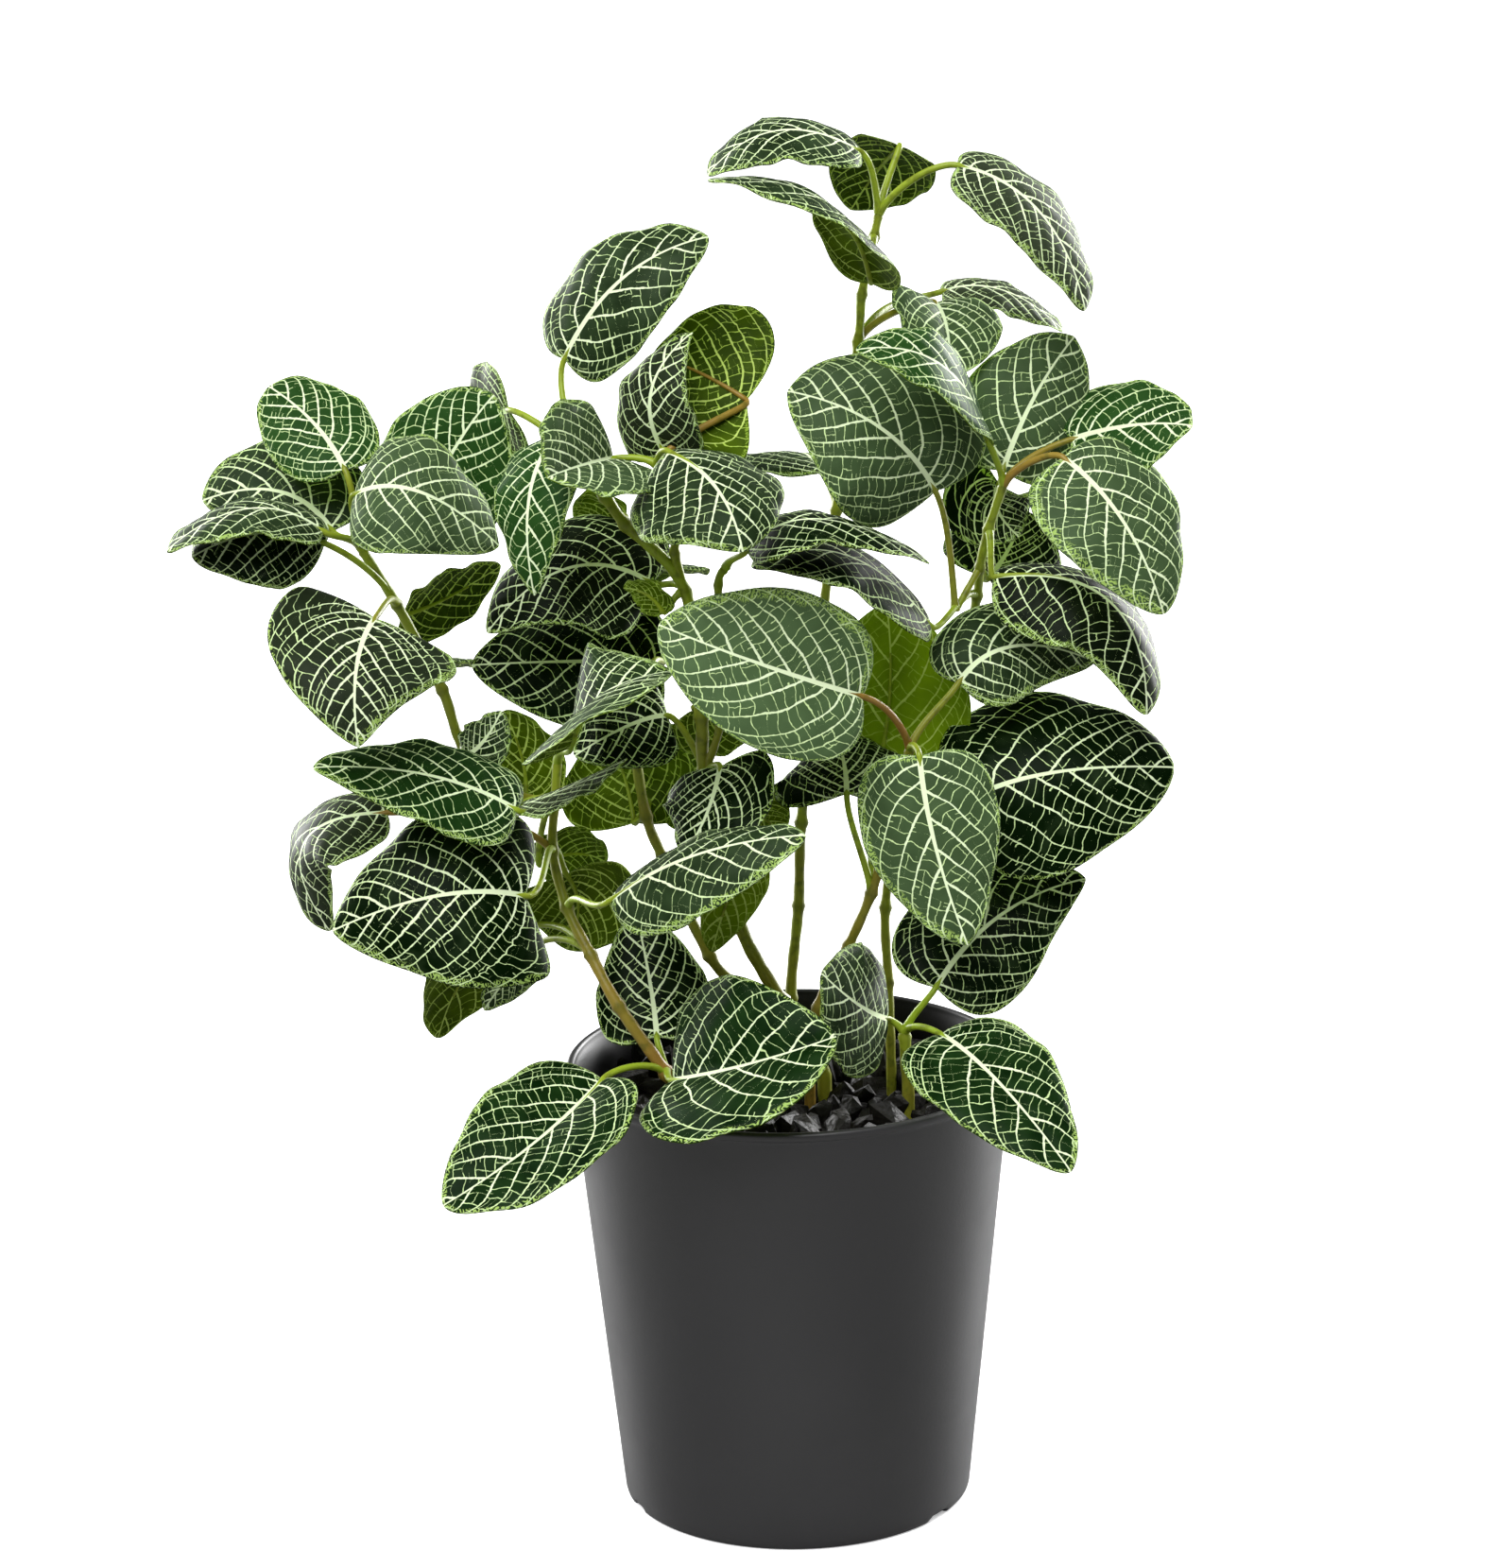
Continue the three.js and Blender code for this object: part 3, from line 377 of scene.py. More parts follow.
        Leaf(on=1, at=5, foot=(342, 562, -20), middle=(262, 539, -22), tip=(176, 584, -28),
             face=(0, -0.12, 1), width=28),
        Leaf(on=1, at=4, foot=(397, 654, -28), middle=(377, 708, -48), tip=(379, 791, -57),
             face=(0, -0.6, 0.8), width=50, lift=(-8, 14), lobes=(0.05, 0.3), heart=1, band=(2.8, 1),
             veins=1.15, age=0.8, tone=ToneAndShade.MIDDLE_GREY),
        Leaf(on=1, at=5, foot=(375, 523, -16), middle=(445, 521, -25), tip=(528, 578, -14),
             face=(0, -0.75, 0.65), width=36, veins=1.1, tone=ToneAndShade.LIGHT),
        Leaf(on=1, at=5, foot=(440, 560, 2), middle=(478, 480, 3), tip=(523, 418, 3),
             face=(-0.1, -0.9, 0.4), width=38, tone=ToneAndShade.LIGHT_FRESH),
        Leaf(on=1, at=4, foot=(428, 648, 10), middle=(470, 632, 16), tip=(530, 598, 24),
             face=(0.2, 0.8, 0.5), width=24, tone=ToneAndShade.DEEP),
        Leaf(on=1, at=3, foot=(455, 700, 14), middle=(420, 700, 32), tip=(380, 710, 46),
             face=(-0.3, 0.6, 0.8), width=36),
    )),
    Shoot(node="right_stem", stems=(
        Stem(root=(5, -8), radii=(1.5, 1.2), age=(1.7, 0.9), points=(
            (866, 1066, -9), (898, 1000, -11), (922, 945, -12), (945, 870, -16), (963, 791, -18),
        )),
    ), leaves=(
        Leaf(at=5, foot=(1014, 723, -12), middle=(1072, 684, -6), tip=(1158, 700, 0),
             face=(0.1, -0.8, 0.6), width=29, band=(0.9, 2.2), age=1),
        Leaf(at=3, foot=(928, 820, 4), middle=(942, 731, 9), tip=(938, 638, 13), face=(0.1, 0.95, -0.3),
             width=45, tone=ToneAndShade.PALE),
        Leaf(at=5, foot=(913, 737, -32), middle=(803, 702, -40), tip=(697, 661, -38),
             face=(-0.05, -0.92, 0.38), width=43, lift=(19, 8), band=(0.8, 3.6), veins=1.4, age=1.9,
             tone=ToneAndShade.PALE),
        Leaf(at=5, foot=(973, 800, -28), middle=(990, 896, -36), tip=(1024, 1000, -42),
             face=(-0.1, -0.85, 0.5), width=37, heart=0.2, band=(0.8, 2.4), veins=0.95, tone=ToneAndShade.LIGHT),
        Leaf(at=4, foot=(1018, 850, -14), middle=(1110, 818, -14), tip=(1243, 812, -8),
             face=(0.05, -0.9, 0.4), width=54, lift=(-20, 0), heart=-0.5, band=(0.7, 1.2),
             tone=ToneAndShade.DEEP),
        Leaf(at=3, foot=(896, 840, -13), middle=(893, 807, -6), tip=(884, 779, 6), face=(0, -0.5, 0.86),
             width=40, lift=(-10, 0), tone=ToneAndShade.DEEP),
    )),
    Shoot(node="far_right_stem", stems=(
        Stem(root=(27, 6), radii=(1.3, 1.2), points=(
            (940, 1040, 9), (937, 960, 11), (950, 880, 13), (985, 780, 15), (1020, 690, 14),
            (1034, 630, 8), (1037, 600, 2), (1046, 560, -4), (1062, 512, -8),
        )),
        Stem(start=(0, 7), radii=(1, 0.9), points=(
            (1011, 646, -3),
        )),
    ), leaves=(
        Leaf(at=9, foot=(1044, 461, -14), middle=(993, 385, -28), tip=(906, 371, -30),
             face=(-0.1, -0.5, 0.85), width=26, lift=(10, 10), lobes=(0.05, 0.05), age=0,
             tone=ToneAndShade.LIGHT_FRESH),
        Leaf(at=9, foot=(1061, 498, -2), middle=(1094, 421, 4), tip=(1137, 356, 12),
             face=(0.1, -0.9, 0.45), width=35.5, tone=ToneAndShade.LIGHT),
        Leaf(at=9, foot=(1133, 465, -1), middle=(1200, 450, -7), tip=(1262, 451, -15),
             face=(0.1, -0.75, 0.65), width=31, lobes=(0.3, 0.14), age=1.3, tone=ToneAndShade.LIGHT_FRESH),
        Leaf(at=9, foot=(1125, 484, -16), middle=(1189, 553, -29), tip=(1231, 650, -35),
             face=(0.3, -0.85, 0.45), width=37, band=(0.8, 3.2), age=1.5, tone=ToneAndShade.LIGHT),
        Leaf(at=9, foot=(1057, 513, 6), middle=(1056, 540, 10), tip=(1078, 568, 8), face=(0, -0.8, 0.6),
             width=28, tone=ToneAndShade.DEEP),
        Leaf(at=7, foot=(1046, 612, 20), middle=(1068, 580, 26), tip=(1085, 540, 32),
             face=(-0.1, -0.9, 0.4), width=34, veins=1.2, tone=ToneAndShade.DEEP),
        Leaf(at=8, foot=(1051, 610, -8), middle=(1174, 636, -16), tip=(1213, 757, -24),
             face=(0.25, -0.75, 0.6), width=38, lift=(-45, 0), band=(0.8, 2.4), tone=ToneAndShade.DEEP_GREY),
        Leaf(at=6, foot=(985, 662, -14), middle=(895, 588, -20), tip=(795, 600, -24),
             face=(0.1, -0.2, 0.97), width=34, tone=ToneAndShade.DEEP),
        Leaf(at=5, foot=(1040, 690, 30), middle=(1075, 690, 48), tip=(1120, 700, 60),
             face=(0.3, 0.6, 0.8), width=38),
        Leaf(at=4, foot=(1000, 800, 32), middle=(1040, 830, 50), tip=(1090, 850, 62),
             face=(0.3, 0.6, 0.8), width=40),
        Leaf(on=1, at=1, foot=(990, 520, -8), middle=(929, 451, -14), tip=(833, 414, -8),
             face=(-0.1, -0.85, 0.5), width=46, lift=(8, 8), band=(1.2, 0.9), veins=1.15, age=1,
             tone=ToneAndShade.LIGHT),
    )),
    Shoot(node="low_shoot", stems=(
        Stem(root=(31, -16), radii=(1.6, 1.6), points=(
            (957, 1092, -17),
        )),
    ), leaves=(
        Leaf(at=1, foot=(990, 1045, -18), middle=(1058, 969, -8), tip=(1149, 930, -2),
             face=(0, -0.85, 0.5), width=38, heart=0.5, band=(0.9, 0.9), age=0, tone=ToneAndShade.DEEP),
        Leaf(at=1, foot=(995, 1094, -30), middle=(1057, 1146, -52), tip=(1133, 1240, -72),
             face=(0.25, -0.6, 0.76), width=36, lift=(15, 0), band=(1.6, 1), age=0.1,
             tone=ToneAndShade.DEEP_FRESH),
        Leaf(at=1, foot=(940, 1078, -18), middle=(908, 1063, -34), tip=(869, 1030, -46),
             face=(0.85, -0.5, 0.15), width=36, lobes=(0.1, 0.1)),
    )),
)


class Signal:
    """A value that a tree's nodes work out, reckoned with by the usual signs."""

    def __init__(self, tree: "Tree", socket: bpy.types.NodeSocket) -> None:
        """Holds the output that gives the value."""
        self.tree = tree
        self.socket = socket

    def __add__(self, other: object) -> "Signal":
        """Adds another value."""
        return self.tree.maths("ADD", self, other)

    def __sub__(self, other: object) -> "Signal":
        """Takes another value away."""
        return self.tree.maths("SUBTRACT", self, other)

    def __rsub__(self, other: object) -> "Signal":
        """Takes this value away from a number."""
        return self.tree.maths("SUBTRACT", other, self)

    def __mul__(self, other: object) -> "Signal":
        """Multiplies by another value."""
        return self.tree.maths("MULTIPLY", self, other)

    def __truediv__(self, other: object) -> "Signal":
        """Divides by another value."""
        return self.tree.maths("DIVIDE", self, other)

    def __abs__(self) -> "Signal":
        """Drops the sign."""
        return self.tree.maths("ABSOLUTE", self)


class Tree:
    """Lays out a tree of nodes."""

    def __init__(self, tree: bpy.types.NodeTree) -> None:
        """Takes the tree."""
        self.nodes = tree.nodes
        self.links = tree.links

    def feed(self, socket: bpy.types.NodeSocket, value: object) -> None:
        """Links an input to a signal, or sets it to a plain value.

        Args:
            socket: the input.
            value: the signal or the plain value.
        """
        if isinstance(value, Signal):
            self.links.new(value.socket, socket)
        else:
            socket.default_value = value

    def node(self, kind: str, given: dict, output: int | str = 0, **options: str) -> Signal:
        """Adds a node.

        Args:
            kind: its type.
            given: what each of its inputs gets.
            output: the output that is wanted.
            options: its settings.

        Returns:
            That output.
        """
        node = self.nodes.new(kind)
        for option, choice in options.items():
            setattr(node, option, choice)
        for socket, value in given.items():
            self.feed(node.inputs[socket], value)
        return Signal(self, node.outputs[output])

    def maths(self, kind: str, *given: object) -> Signal:
        """Works out a value from one or two others."""
        return self.node("ShaderNodeMath", dict(enumerate(given)), operation=kind)


class Sheet(Tree):
    """Lays out one material."""

    def __init__(self, name: str, roughness: float, specular: float) -> None:
        """Starts a material.

        Args:
            name: the material's name.
            roughness: how matt it is.
            specular: how strongly it mirrors.
        """
        self.material = bpy.data.materials.new(name)
        self.material.use_nodes = True
        super().__init__(self.material.node_tree)
        self.surface = self.nodes["Principled BSDF"]
        self.feed(self.surface.inputs["Roughness"], roughness)
        self.feed(self.surface.inputs["Specular IOR Level"], specular)

    def fade(self, value: object, start: object, end: object, low: float = 0, high: float = 1) -> Signal:
        """Runs smoothly from low to high while value runs from start to end."""
        given = {"Value": value, "From Min": start, "From Max": end, "To Min": low, "To Max": high}
        return self.node("ShaderNodeMapRange", given, "Result", interpolation_type="SMOOTHSTEP")

    def mixed(self, share: object, first: object, second: object) -> Signal:
        """Mixes two colours by the share of the second."""
        pair = [(*c, 1.0) if isinstance(c, tuple) else c for c in (first, second)]
        return self.node("ShaderNodeMix", {0: share, 6: pair[0], 7: pair[1]}, 2, data_type="RGBA")

    def own(self, name: str) -> Signal:
        """Gives the vector of one of the piece's own attributes."""
        return self.node("ShaderNodeAttribute", {}, "Vector", attribute_name=name)

    def place(self) -> Signal:
        """Gives the place on the object."""
        return self.node("ShaderNodeTexCoord", {}, "Object")

    def parts(self, vector: Signal) -> list[Signal]:
        """Splits a vector into its three parts."""
        first = self.node("ShaderNodeSeparateXYZ", {0: vector})
        return [Signal(self, output) for output in first.socket.node.outputs]

    def noise(self, vector: Signal, scale: float, detail: float) -> Signal:
        """Gives smooth noise from 0 to 1."""
        given = {"Vector": vector, "Scale": scale, "Detail": detail}
        return self.node("ShaderNodeTexNoise", given, "Fac")

    def swing(self, vector: Signal, scale: float, detail: float) -> Signal:
        """Gives smooth noise from -0.5 to 0.5."""
        return self.noise(vector, scale, detail) - 0.5

    def spots(self, vector: Signal, pattern: Pattern, low: float = 0.0, high: float = 1.0) -> Signal:
        """Gives noise that runs from low to high where it passes between the pattern's two values."""
        scale, detail, start, end = pattern
        return self.fade(self.noise(vector, scale, detail), start, end, low, high)

    def chances(self, *parts: Signal) -> list[Signal]:
        """Gives two chances from 0 to 1 that three whole numbers fix."""
        joined = self.node("ShaderNodeCombineXYZ", dict(enumerate(parts)))
        return self.parts(self.node("ShaderNodeTexWhiteNoise", {"Vector": joined}, "Color"))[:2]

    def paint(self, colour: Signal, height: Signal, depth: float, strength: float) -> bpy.types.Material:
        """Gives the surface its colour and its relief.

        Args:
            colour: the colour.
            height: the relief's pattern, from 0 to 1.
            depth: how far 1 stands above 0, in metres.
            strength: the share of the relief that shows.

        Returns:
            The finished material.
        """
        given = {"Height": height, "Distance": depth, "Strength": strength}
        bump = self.node("ShaderNodeBump", given)
        self.feed(self.surface.inputs["Normal"], bump)
        self.feed(self.surface.inputs["Base Color"], colour)
        return self.material


class Shaper(Tree):
    """Lays out a Geometry Nodes tree that ends in plain meshes of one material."""

    def __init__(self, name: str, **inputs: str) -> None:
        """Starts a tree.

        Args:
            name: its name.
            inputs: the kind of each of its inputs, by name.
        """
        self.group = bpy.data.node_groups.new(name, "GeometryNodeTree")
        super().__init__(self.group)
        face = self.group.interface
        face.new_socket("Geometry", in_out="INPUT", socket_type="NodeSocketGeometry")
        self.keys = {
            title: face.new_socket(title, in_out="INPUT", socket_type=f"NodeSocket{kind}").identifier
            for title, kind in inputs.items()
        }
        face.new_socket("Geometry", in_out="OUTPUT", socket_type="NodeSocketGeometry")
        start = self.nodes.new("NodeGroupInput")
        self.given = {title: Signal(self, start.outputs[title]) for title in ("Geometry", *inputs)}

    def end(self, geometry: Signal, material: bpy.types.Material) -> None:
        """Ends the tree with its geometry in one material.

        Args:
            geometry: the geometry, with its instances made real.
            material: the material.
        """
        dressed = self.node("GeometryNodeSetMaterial", {"Geometry": geometry, "Material": material})
        self.feed(self.nodes.new("NodeGroupOutput").inputs["Geometry"], dressed)

    def run(self, thing: bpy.types.Object, **values: float) -> bpy.types.Object:
        """Runs the tree on an object and keeps the result as the object's plain mesh.

        Args:
            thing: the object.
            values: what the tree's inputs get, by name.

        Returns:
            The same object, without modifiers.
        """
        modifier = thing.modifiers.new(self.group.name, "NODES")
        modifier.node_group = self.group
        for title, value in values.items():
            modifier[self.keys[title]] = value
        bpy.context.view_layer.update()
        graph = bpy.context.evaluated_depsgraph_get()
        plain = bpy.data.meshes.new_from_object(thing.evaluated_get(graph), depsgraph=graph)
        thing.modifiers.clear()
        old = thing.data
        thing.data = plain
        plain.name = thing.name
        bpy.data.meshes.remove(old)
        return thing


@dataclass(frozen=True)
class BladeFinish:
    """A moulded, printed blade: dark ground, pale veins, and a lime net that is finest at the margin.

    Each ground is a pair, dark and light: the dark end is painted shade for leaves in shadow and the light
    end holds a painted sheen for lit leaves. Lengths are in millimetres and noise scales per millimetre.
    """

    name: str = "blade_upper"
    # Painted light and shade: the dark ends are painted shade, the light ends hold a painted sheen.
    ground_and_shade: tuple[Colour, Colour] = ((0.0010, 0.0065, 0.0002), (0.076, 0.130, 0.053))
    grey_and_sheen: tuple[Colour, Colour] = ((0.0030, 0.0070, 0.0018), (0.048, 0.066, 0.034))
    fresh: tuple[Colour, Colour] = ((0.0006, 0.0090, 0.0004), (0.027, 0.086, 0.016))
    cloud: tuple[float, float] = (0.12, 0.6)
    cloud_detail: float = 3.0
    vein: Colour = (0.74, 0.86, 0.56)
    outer_vein: Colour = (0.56, 0.73, 0.34)
    lime: Colour = (0.31, 0.46, 0.11)
    midrib: tuple[float, float] = (0.72, 0.22)
    rib_reach: float = 0.95
    side: tuple[float, float] = (0.30, 0.15)
    crowded: tuple[float, float, float] = (1.2, 2.6, 0.35)
    uneven: Pattern = (0.8, 1.0, 0.3, 0.7)
    thickness: tuple[float, float] = (0.7, 1.25)
    soft: tuple[float, float] = (0.06, -0.05)
    soft_rib: tuple[float, float] = (0.07, -0.05)
    soft_end: tuple[float, float] = (0.1, -0.1)
    free: tuple[float, float] = (0.5, 5.0)
    sway: tuple[float, float] = (0.11, 0.40)
    jog: tuple[float, float] = (0.45, 0.07)
    band_change: Pattern = (0.2, 1.0, 0.3, 0.7)
    band_width: tuple[float, float] = (0.7, 1.3)
    band_start: float = 0.65
    worm_scale: float = 0.85
    worm_folds: float = 3.4
    worm_edge: tuple[float, float] = (0.22, 0.30)
    bare_edge: tuple[float, float] = (0.08, 0.3)
    fine: float = 0.095
    rung_gap: float = 1.45
    rung_offset: float = 0.37
    rung_sway: tuple[float, float] = (0.22, 1.9)
    rough: tuple[float, float, float] = (0.9, 0.24, 0.6)
    whole: float = 0.82
    full_reach: float = 20.0
    spur_chance: float = 0.35
    spur: tuple[float, float] = (-0.1, 1.5)
    links: float = 0.22
    roughness: float = 0.42
    specular: float = 0.04
    pale_share: float = 0.25
    fine_relief: float = 0.6
    relief: tuple[float, float] = (0.00025, 0.6)

    def lines(self, sheet: Sheet) -> dict[str, Signal]:
        """Draws the vein net from the blade's own coordinates.

        Args:
            sheet: the material that is being laid out.

        Returns:
            The masks `main`, `fine` and `edge`, the share of the way `out` to the margin, and `flat`.
        """
        flat = sheet.own("flat")
        across, _, seed = sheet.parts(flat)
        phase, margin, spacing = sheet.parts(sheet.own("vein"))
        share, t, run = sheet.parts(sheet.own("form"))
        _, _, band = sheet.parts(sheet.own("tone"))
        phase = phase + sheet.maths("GREATER_THAN", across, 0.0) * HALF_SHIFT
        across = abs(across)
        free = sheet.fade(across, *self.free)
        phase = phase + sheet.swing(flat, self.sway[0], 0.0) * free * self.sway[1]
        phase = phase + sheet.swing(flat, self.jog[0], 1.0) * free * self.jog[1]
        away = abs(sheet.maths("FRACT", phase) - 0.5) * spacing
        uneven = sheet.spots(flat, self.uneven, *self.thickness)
        narrow, wide, least = self.crowded
        width = sheet.fade(share, 0.0, 1.0, *self.side) * sheet.fade(spacing, narrow, wide, least)
        side = sheet.fade(away - width * uneven, *self.soft)
        middle = sheet.fade(across - sheet.fade(t, 0.0, self.rib_reach, *self.midrib), *self.soft_rib)
        band = band * sheet.spots(flat, self.band_change, *self.band_width)
        worms = sheet.maths("PINGPONG", sheet.noise(flat, self.worm_scale, 0.0) * self.worm_folds, 0.5)
        edge = sheet.fade(margin, band, band * self.band_start) * sheet.fade(margin, *self.bare_edge)
        return {
            "main": sheet.maths("MAXIMUM", side, middle),
            "fine": self.rungs(sheet, (phase, spacing, run, flat, seed), uneven * self.fine),
            "edge": sheet.fade(worms, *self.worm_edge) * edge,
            "out": share,
            "flat": flat,
        }

    def rungs(self, sheet: Sheet, veins: tuple[Signal, ...], width: Signal) -> Signal:
        """Draws the fine veins: rungs between the side veins, with spurs and a few links.

        Args:
            sheet: the material that is being laid out.
            veins: the side veins' phase, the real distance that one whole phase takes, the run along
                them, the blade's flat coordinates and its own number.
            width: half a fine vein's thickness.

        Returns:
            The mask of the fine veins.
        """
        phase, spacing, run, flat, seed = veins
        rough = sheet.swing(flat, self.rough[0], 1.0)
        cell = sheet.maths("FLOOR", phase + 0.5)
        level = (phase - cell) * spacing + rough * self.rough[2]
        step = run / self.rung_gap + cell * self.rung_offset
        step = step + sheet.swing(flat, self.rung_sway[0], 0.0) * self.rung_sway[1] + rough * self.rough[1]
        number = sheet.maths("ROUND", step)
        away = abs(step - number) * self.rung_gap
        chance, side = sheet.chances(cell, number, seed)
        shore = sheet.maths("SIGN", side - 0.5) * level + spacing * 0.5
        even = 1.0 - sheet.maths("PINGPONG", number, 1.0)
        whole = sheet.maths("LESS_THAN", chance, even * self.whole)
        reach = sheet.fade(chance, self.spur_chance, 1.0, *self.spur) + whole * self.full_reach
        drawn = sheet.fade(away - width, *self.soft) * sheet.fade(shore - reach, *self.soft_end)
        chance, side = sheet.chances(sheet.maths("FLOOR", step * 0.5), cell, seed)
        link = sheet.fade(abs(level - (side - 0.5) * (spacing * 0.5)) - width, *self.soft)
        link = link * sheet.maths("LESS_THAN", chance, self.links)
        return sheet.maths("MAXIMUM", drawn, link)

    def material(self) -> bpy.types.Material:
        """Makes the material.

        Returns:
            The material of the upper faces.
        """
        sheet = Sheet(self.name, self.roughness, self.specular)
        drawn = self.lines(sheet)
        # Painted light and shade: the leaf's shade, with noise that also paints soft patches of sheen, mixes
        # the shaded and lit copies of each ground, and the grey tint adds a painted grey sheen.
        shade, tint, _ = sheet.parts(sheet.own("tone"))
        shade = shade + sheet.swing(drawn["flat"], self.cloud[0], self.cloud_detail) * self.cloud[1]
        colour, grey_and_sheen, fresh = (sheet.mixed(shade, *pair) for pair in (self.ground_and_shade, self.grey_and_sheen, self.fresh))
        colour = sheet.mixed(sheet.fade(tint, 0.0, -1.0), colour, grey_and_sheen)
        colour = sheet.mixed(sheet.fade(tint, 0.0, 1.0), colour, fresh)
        line = sheet.mixed(sheet.fade(drawn["out"], self.pale_share, 1.0), self.vein, self.outer_vein)
        for mask, ink in (("edge", self.lime), ("fine", self.outer_vein), ("main", line)):
            colour = sheet.mixed(drawn[mask], colour, ink)
        deep = sheet.maths("MAXIMUM", drawn["main"], drawn["fine"] * self.fine_relief)
        return sheet.paint(colour, 1.0 - deep, *self.relief)


@dataclass(frozen=True)
class UndersideFinish(BladeFinish):
    """The underside of a blade: olive green with faint raised veins."""

    name: str = "blade_under"
    # Painted light and shade: the dark end is for undersides in shadow, the light end for lit ones.
    ground_and_shade: tuple[Colour, Colour] = ((0.024, 0.048, 0.000), (0.190, 0.310, 0.004))
    cloud: tuple[float, float] = (0.10, 0.8)
    vein: Colour = (0.46, 0.60, 0.14)
    outer_vein: Colour = (0.36, 0.51, 0.08)
    lime: Colour = (0.20, 0.31, 0.03)
    midrib: tuple[float, float] = (0.5, 0.18)
    side: tuple[float, float] = (0.28, 0.15)
    roughness: float = 0.5
    specular: float = 0.05
    relief: tuple[float, float] = (0.00025, 0.5)

    def material(self) -> bpy.types.Material:
        """Makes the material.

        Returns:
            The material of undersides and edges.
        """
        sheet = Sheet(self.name, self.roughness, self.specular)
        drawn = self.lines(sheet)
        # Painted light and shade: the leaf's shade, with noise, mixes the shaded and lit ends of the
        # underside's ground.
        shade, _, _ = sheet.parts(sheet.own("tone"))
        shade = shade + sheet.swing(drawn["flat"], self.cloud[0], self.cloud_detail) * self.cloud[1]
        colour = sheet.mixed(shade, *self.ground_and_shade)
        for mask, ink in (("edge", self.lime), ("fine", self.outer_vein), ("main", self.vein)):
            colour = sheet.mixed(drawn[mask], colour, ink)
        return sheet.paint(colour, drawn["main"], *self.relief)


@dataclass(frozen=True)
class StemFinish:
    """Moulded stem: yellow-green where young, olive-brown with a reddish tint where old."""

    young: Colour = (0.270, 0.380, 0.020)
    old: Colour = (0.215, 0.225, 0.020)
    red: Colour = (0.300, 0.145, 0.030)
    dark: Colour = (0.080, 0.085, 0.006)
    patches: tuple[float, float] = (55.0, 1.3)
    patch_detail: float = 3.0
    streaks: Pattern = (320.0, 3.0, 0.5, 0.72)
    streak_share: float = 0.6
    ring_share: float = 0.45
    grain: tuple[float, float] = (700.0, 3.0)
    relief: tuple[float, float] = (0.00025, 0.5)
    roughness: float = 0.38
    specular: float = 0.3

    def material(self) -> bpy.types.Material:
        """Makes the material.

        Returns:
            The material of stems and stalks.
        """
        sheet = Sheet("stem", self.roughness, self.specular)
        age, ring, _ = sheet.parts(sheet.own("age"))
        place = sheet.place()
        age = age + sheet.swing(place, self.patches[0], self.patch_detail) * self.patches[1]
        colour = sheet.mixed(age, self.young, self.old)
        colour = sheet.mixed(age - 1.0, colour, self.red)
        colour = sheet.mixed(ring * self.ring_share, colour, self.dark)
        colour = sheet.mixed(sheet.spots(place, self.streaks) * self.streak_share, colour, self.dark)
        return sheet.paint(colour, sheet.noise(place, *self.grain), *self.relief)


@dataclass(frozen=True)
class StoneFinish:
    """Crushed dark slate with dusty faces."""

    dark: Colour = (0.0030, 0.0026, 0.0020)
    light: Colour = (0.0130, 0.0115, 0.0085)
    dust: Pattern = (60.0, 5.0, 0.40, 0.66)
    grain: Pattern = (700.0, 4.0, 0.35, 0.75)
    grain_share: float = 0.45
    chips: tuple[float, float] = (420.0, 6.0)
    relief: tuple[float, float] = (0.0012, 0.7)
    roughness: float = 0.5
    specular: float = 0.22

    def material(self) -> bpy.types.Material:
        """Makes the material.

        Returns:
            The material of the stones.
        """
        sheet = Sheet("slate", self.roughness, self.specular)
        place = sheet.place()
        colour = sheet.mixed(sheet.spots(place, self.dust), self.dark, self.light)
        colour = sheet.mixed(sheet.spots(place, self.grain) * self.grain_share, colour, self.light)
        return sheet.paint(colour, sheet.noise(place, *self.chips), *self.relief)


@dataclass(frozen=True)
class PotFinish:
    """Satin black moulded plastic with a little dust and scuffing, duller inside, and with painted shade that
    darkens the inside.

    The inside begins where a place lies `inset` within the cone of `foot_radius` and `flare`, in metres.
    """

    black: Colour = (0.0140, 0.0137, 0.0148)
    dust: Colour = (0.060, 0.059, 0.062)
    # Painted shade for the pot's inside.
    inside_shade: Colour = (0.0012, 0.0012, 0.0012)
    specular: tuple[float, float] = (0.8, 0.15)
    roughness: tuple[float, float] = (0.34, 0.46)
    foot_radius: float = 0.047
    flare: float = 0.1
    inset: tuple[float, float] = (0.0006, 0.0014)
    specks: Pattern = (420.0, 2.0, 0.80, 0.84)
    haze: Pattern = (16.0, 4.0, 0.45, 0.8)
    haze_share: float = 0.16
    scuffs: Pattern = (24.0, 5.0, 0.3, 0.7)
    grain: tuple[float, float] = (900.0, 3.0)
    relief: tuple[float, float] = (0.00006, 0.35)

    def material(self) -> bpy.types.Material:
        """Makes the material.

        Returns:
            The material of the pot.
        """
        sheet = Sheet("satin_black", self.roughness[0], self.specular[0])
        place = sheet.place()
        haze = sheet.spots(place, self.haze, 0.0, self.haze_share)
        dusty = sheet.maths("MAXIMUM", sheet.spots(place, self.specks), haze)
        colour = sheet.mixed(dusty, self.black, self.dust)
        x, y, z = sheet.parts(place)
        radius = sheet.maths("SQRT", x * x + y * y)
        # Painted shade: the mask of the inside, where the wall is darkened and made duller.
        within = sheet.fade(z * self.flare + self.foot_radius - radius, *self.inset)
        colour = sheet.mixed(within, colour, self.inside_shade)
        gloss = sheet.fade(within, 0.0, 1.0, *self.specular)
        sheet.feed(sheet.surface.inputs["Specular IOR Level"], gloss)
        sheet.feed(sheet.surface.inputs["Roughness"], sheet.spots(place, self.scuffs, *self.roughness))
        return sheet.paint(colour, sheet.noise(place, *self.grain), *self.relief)


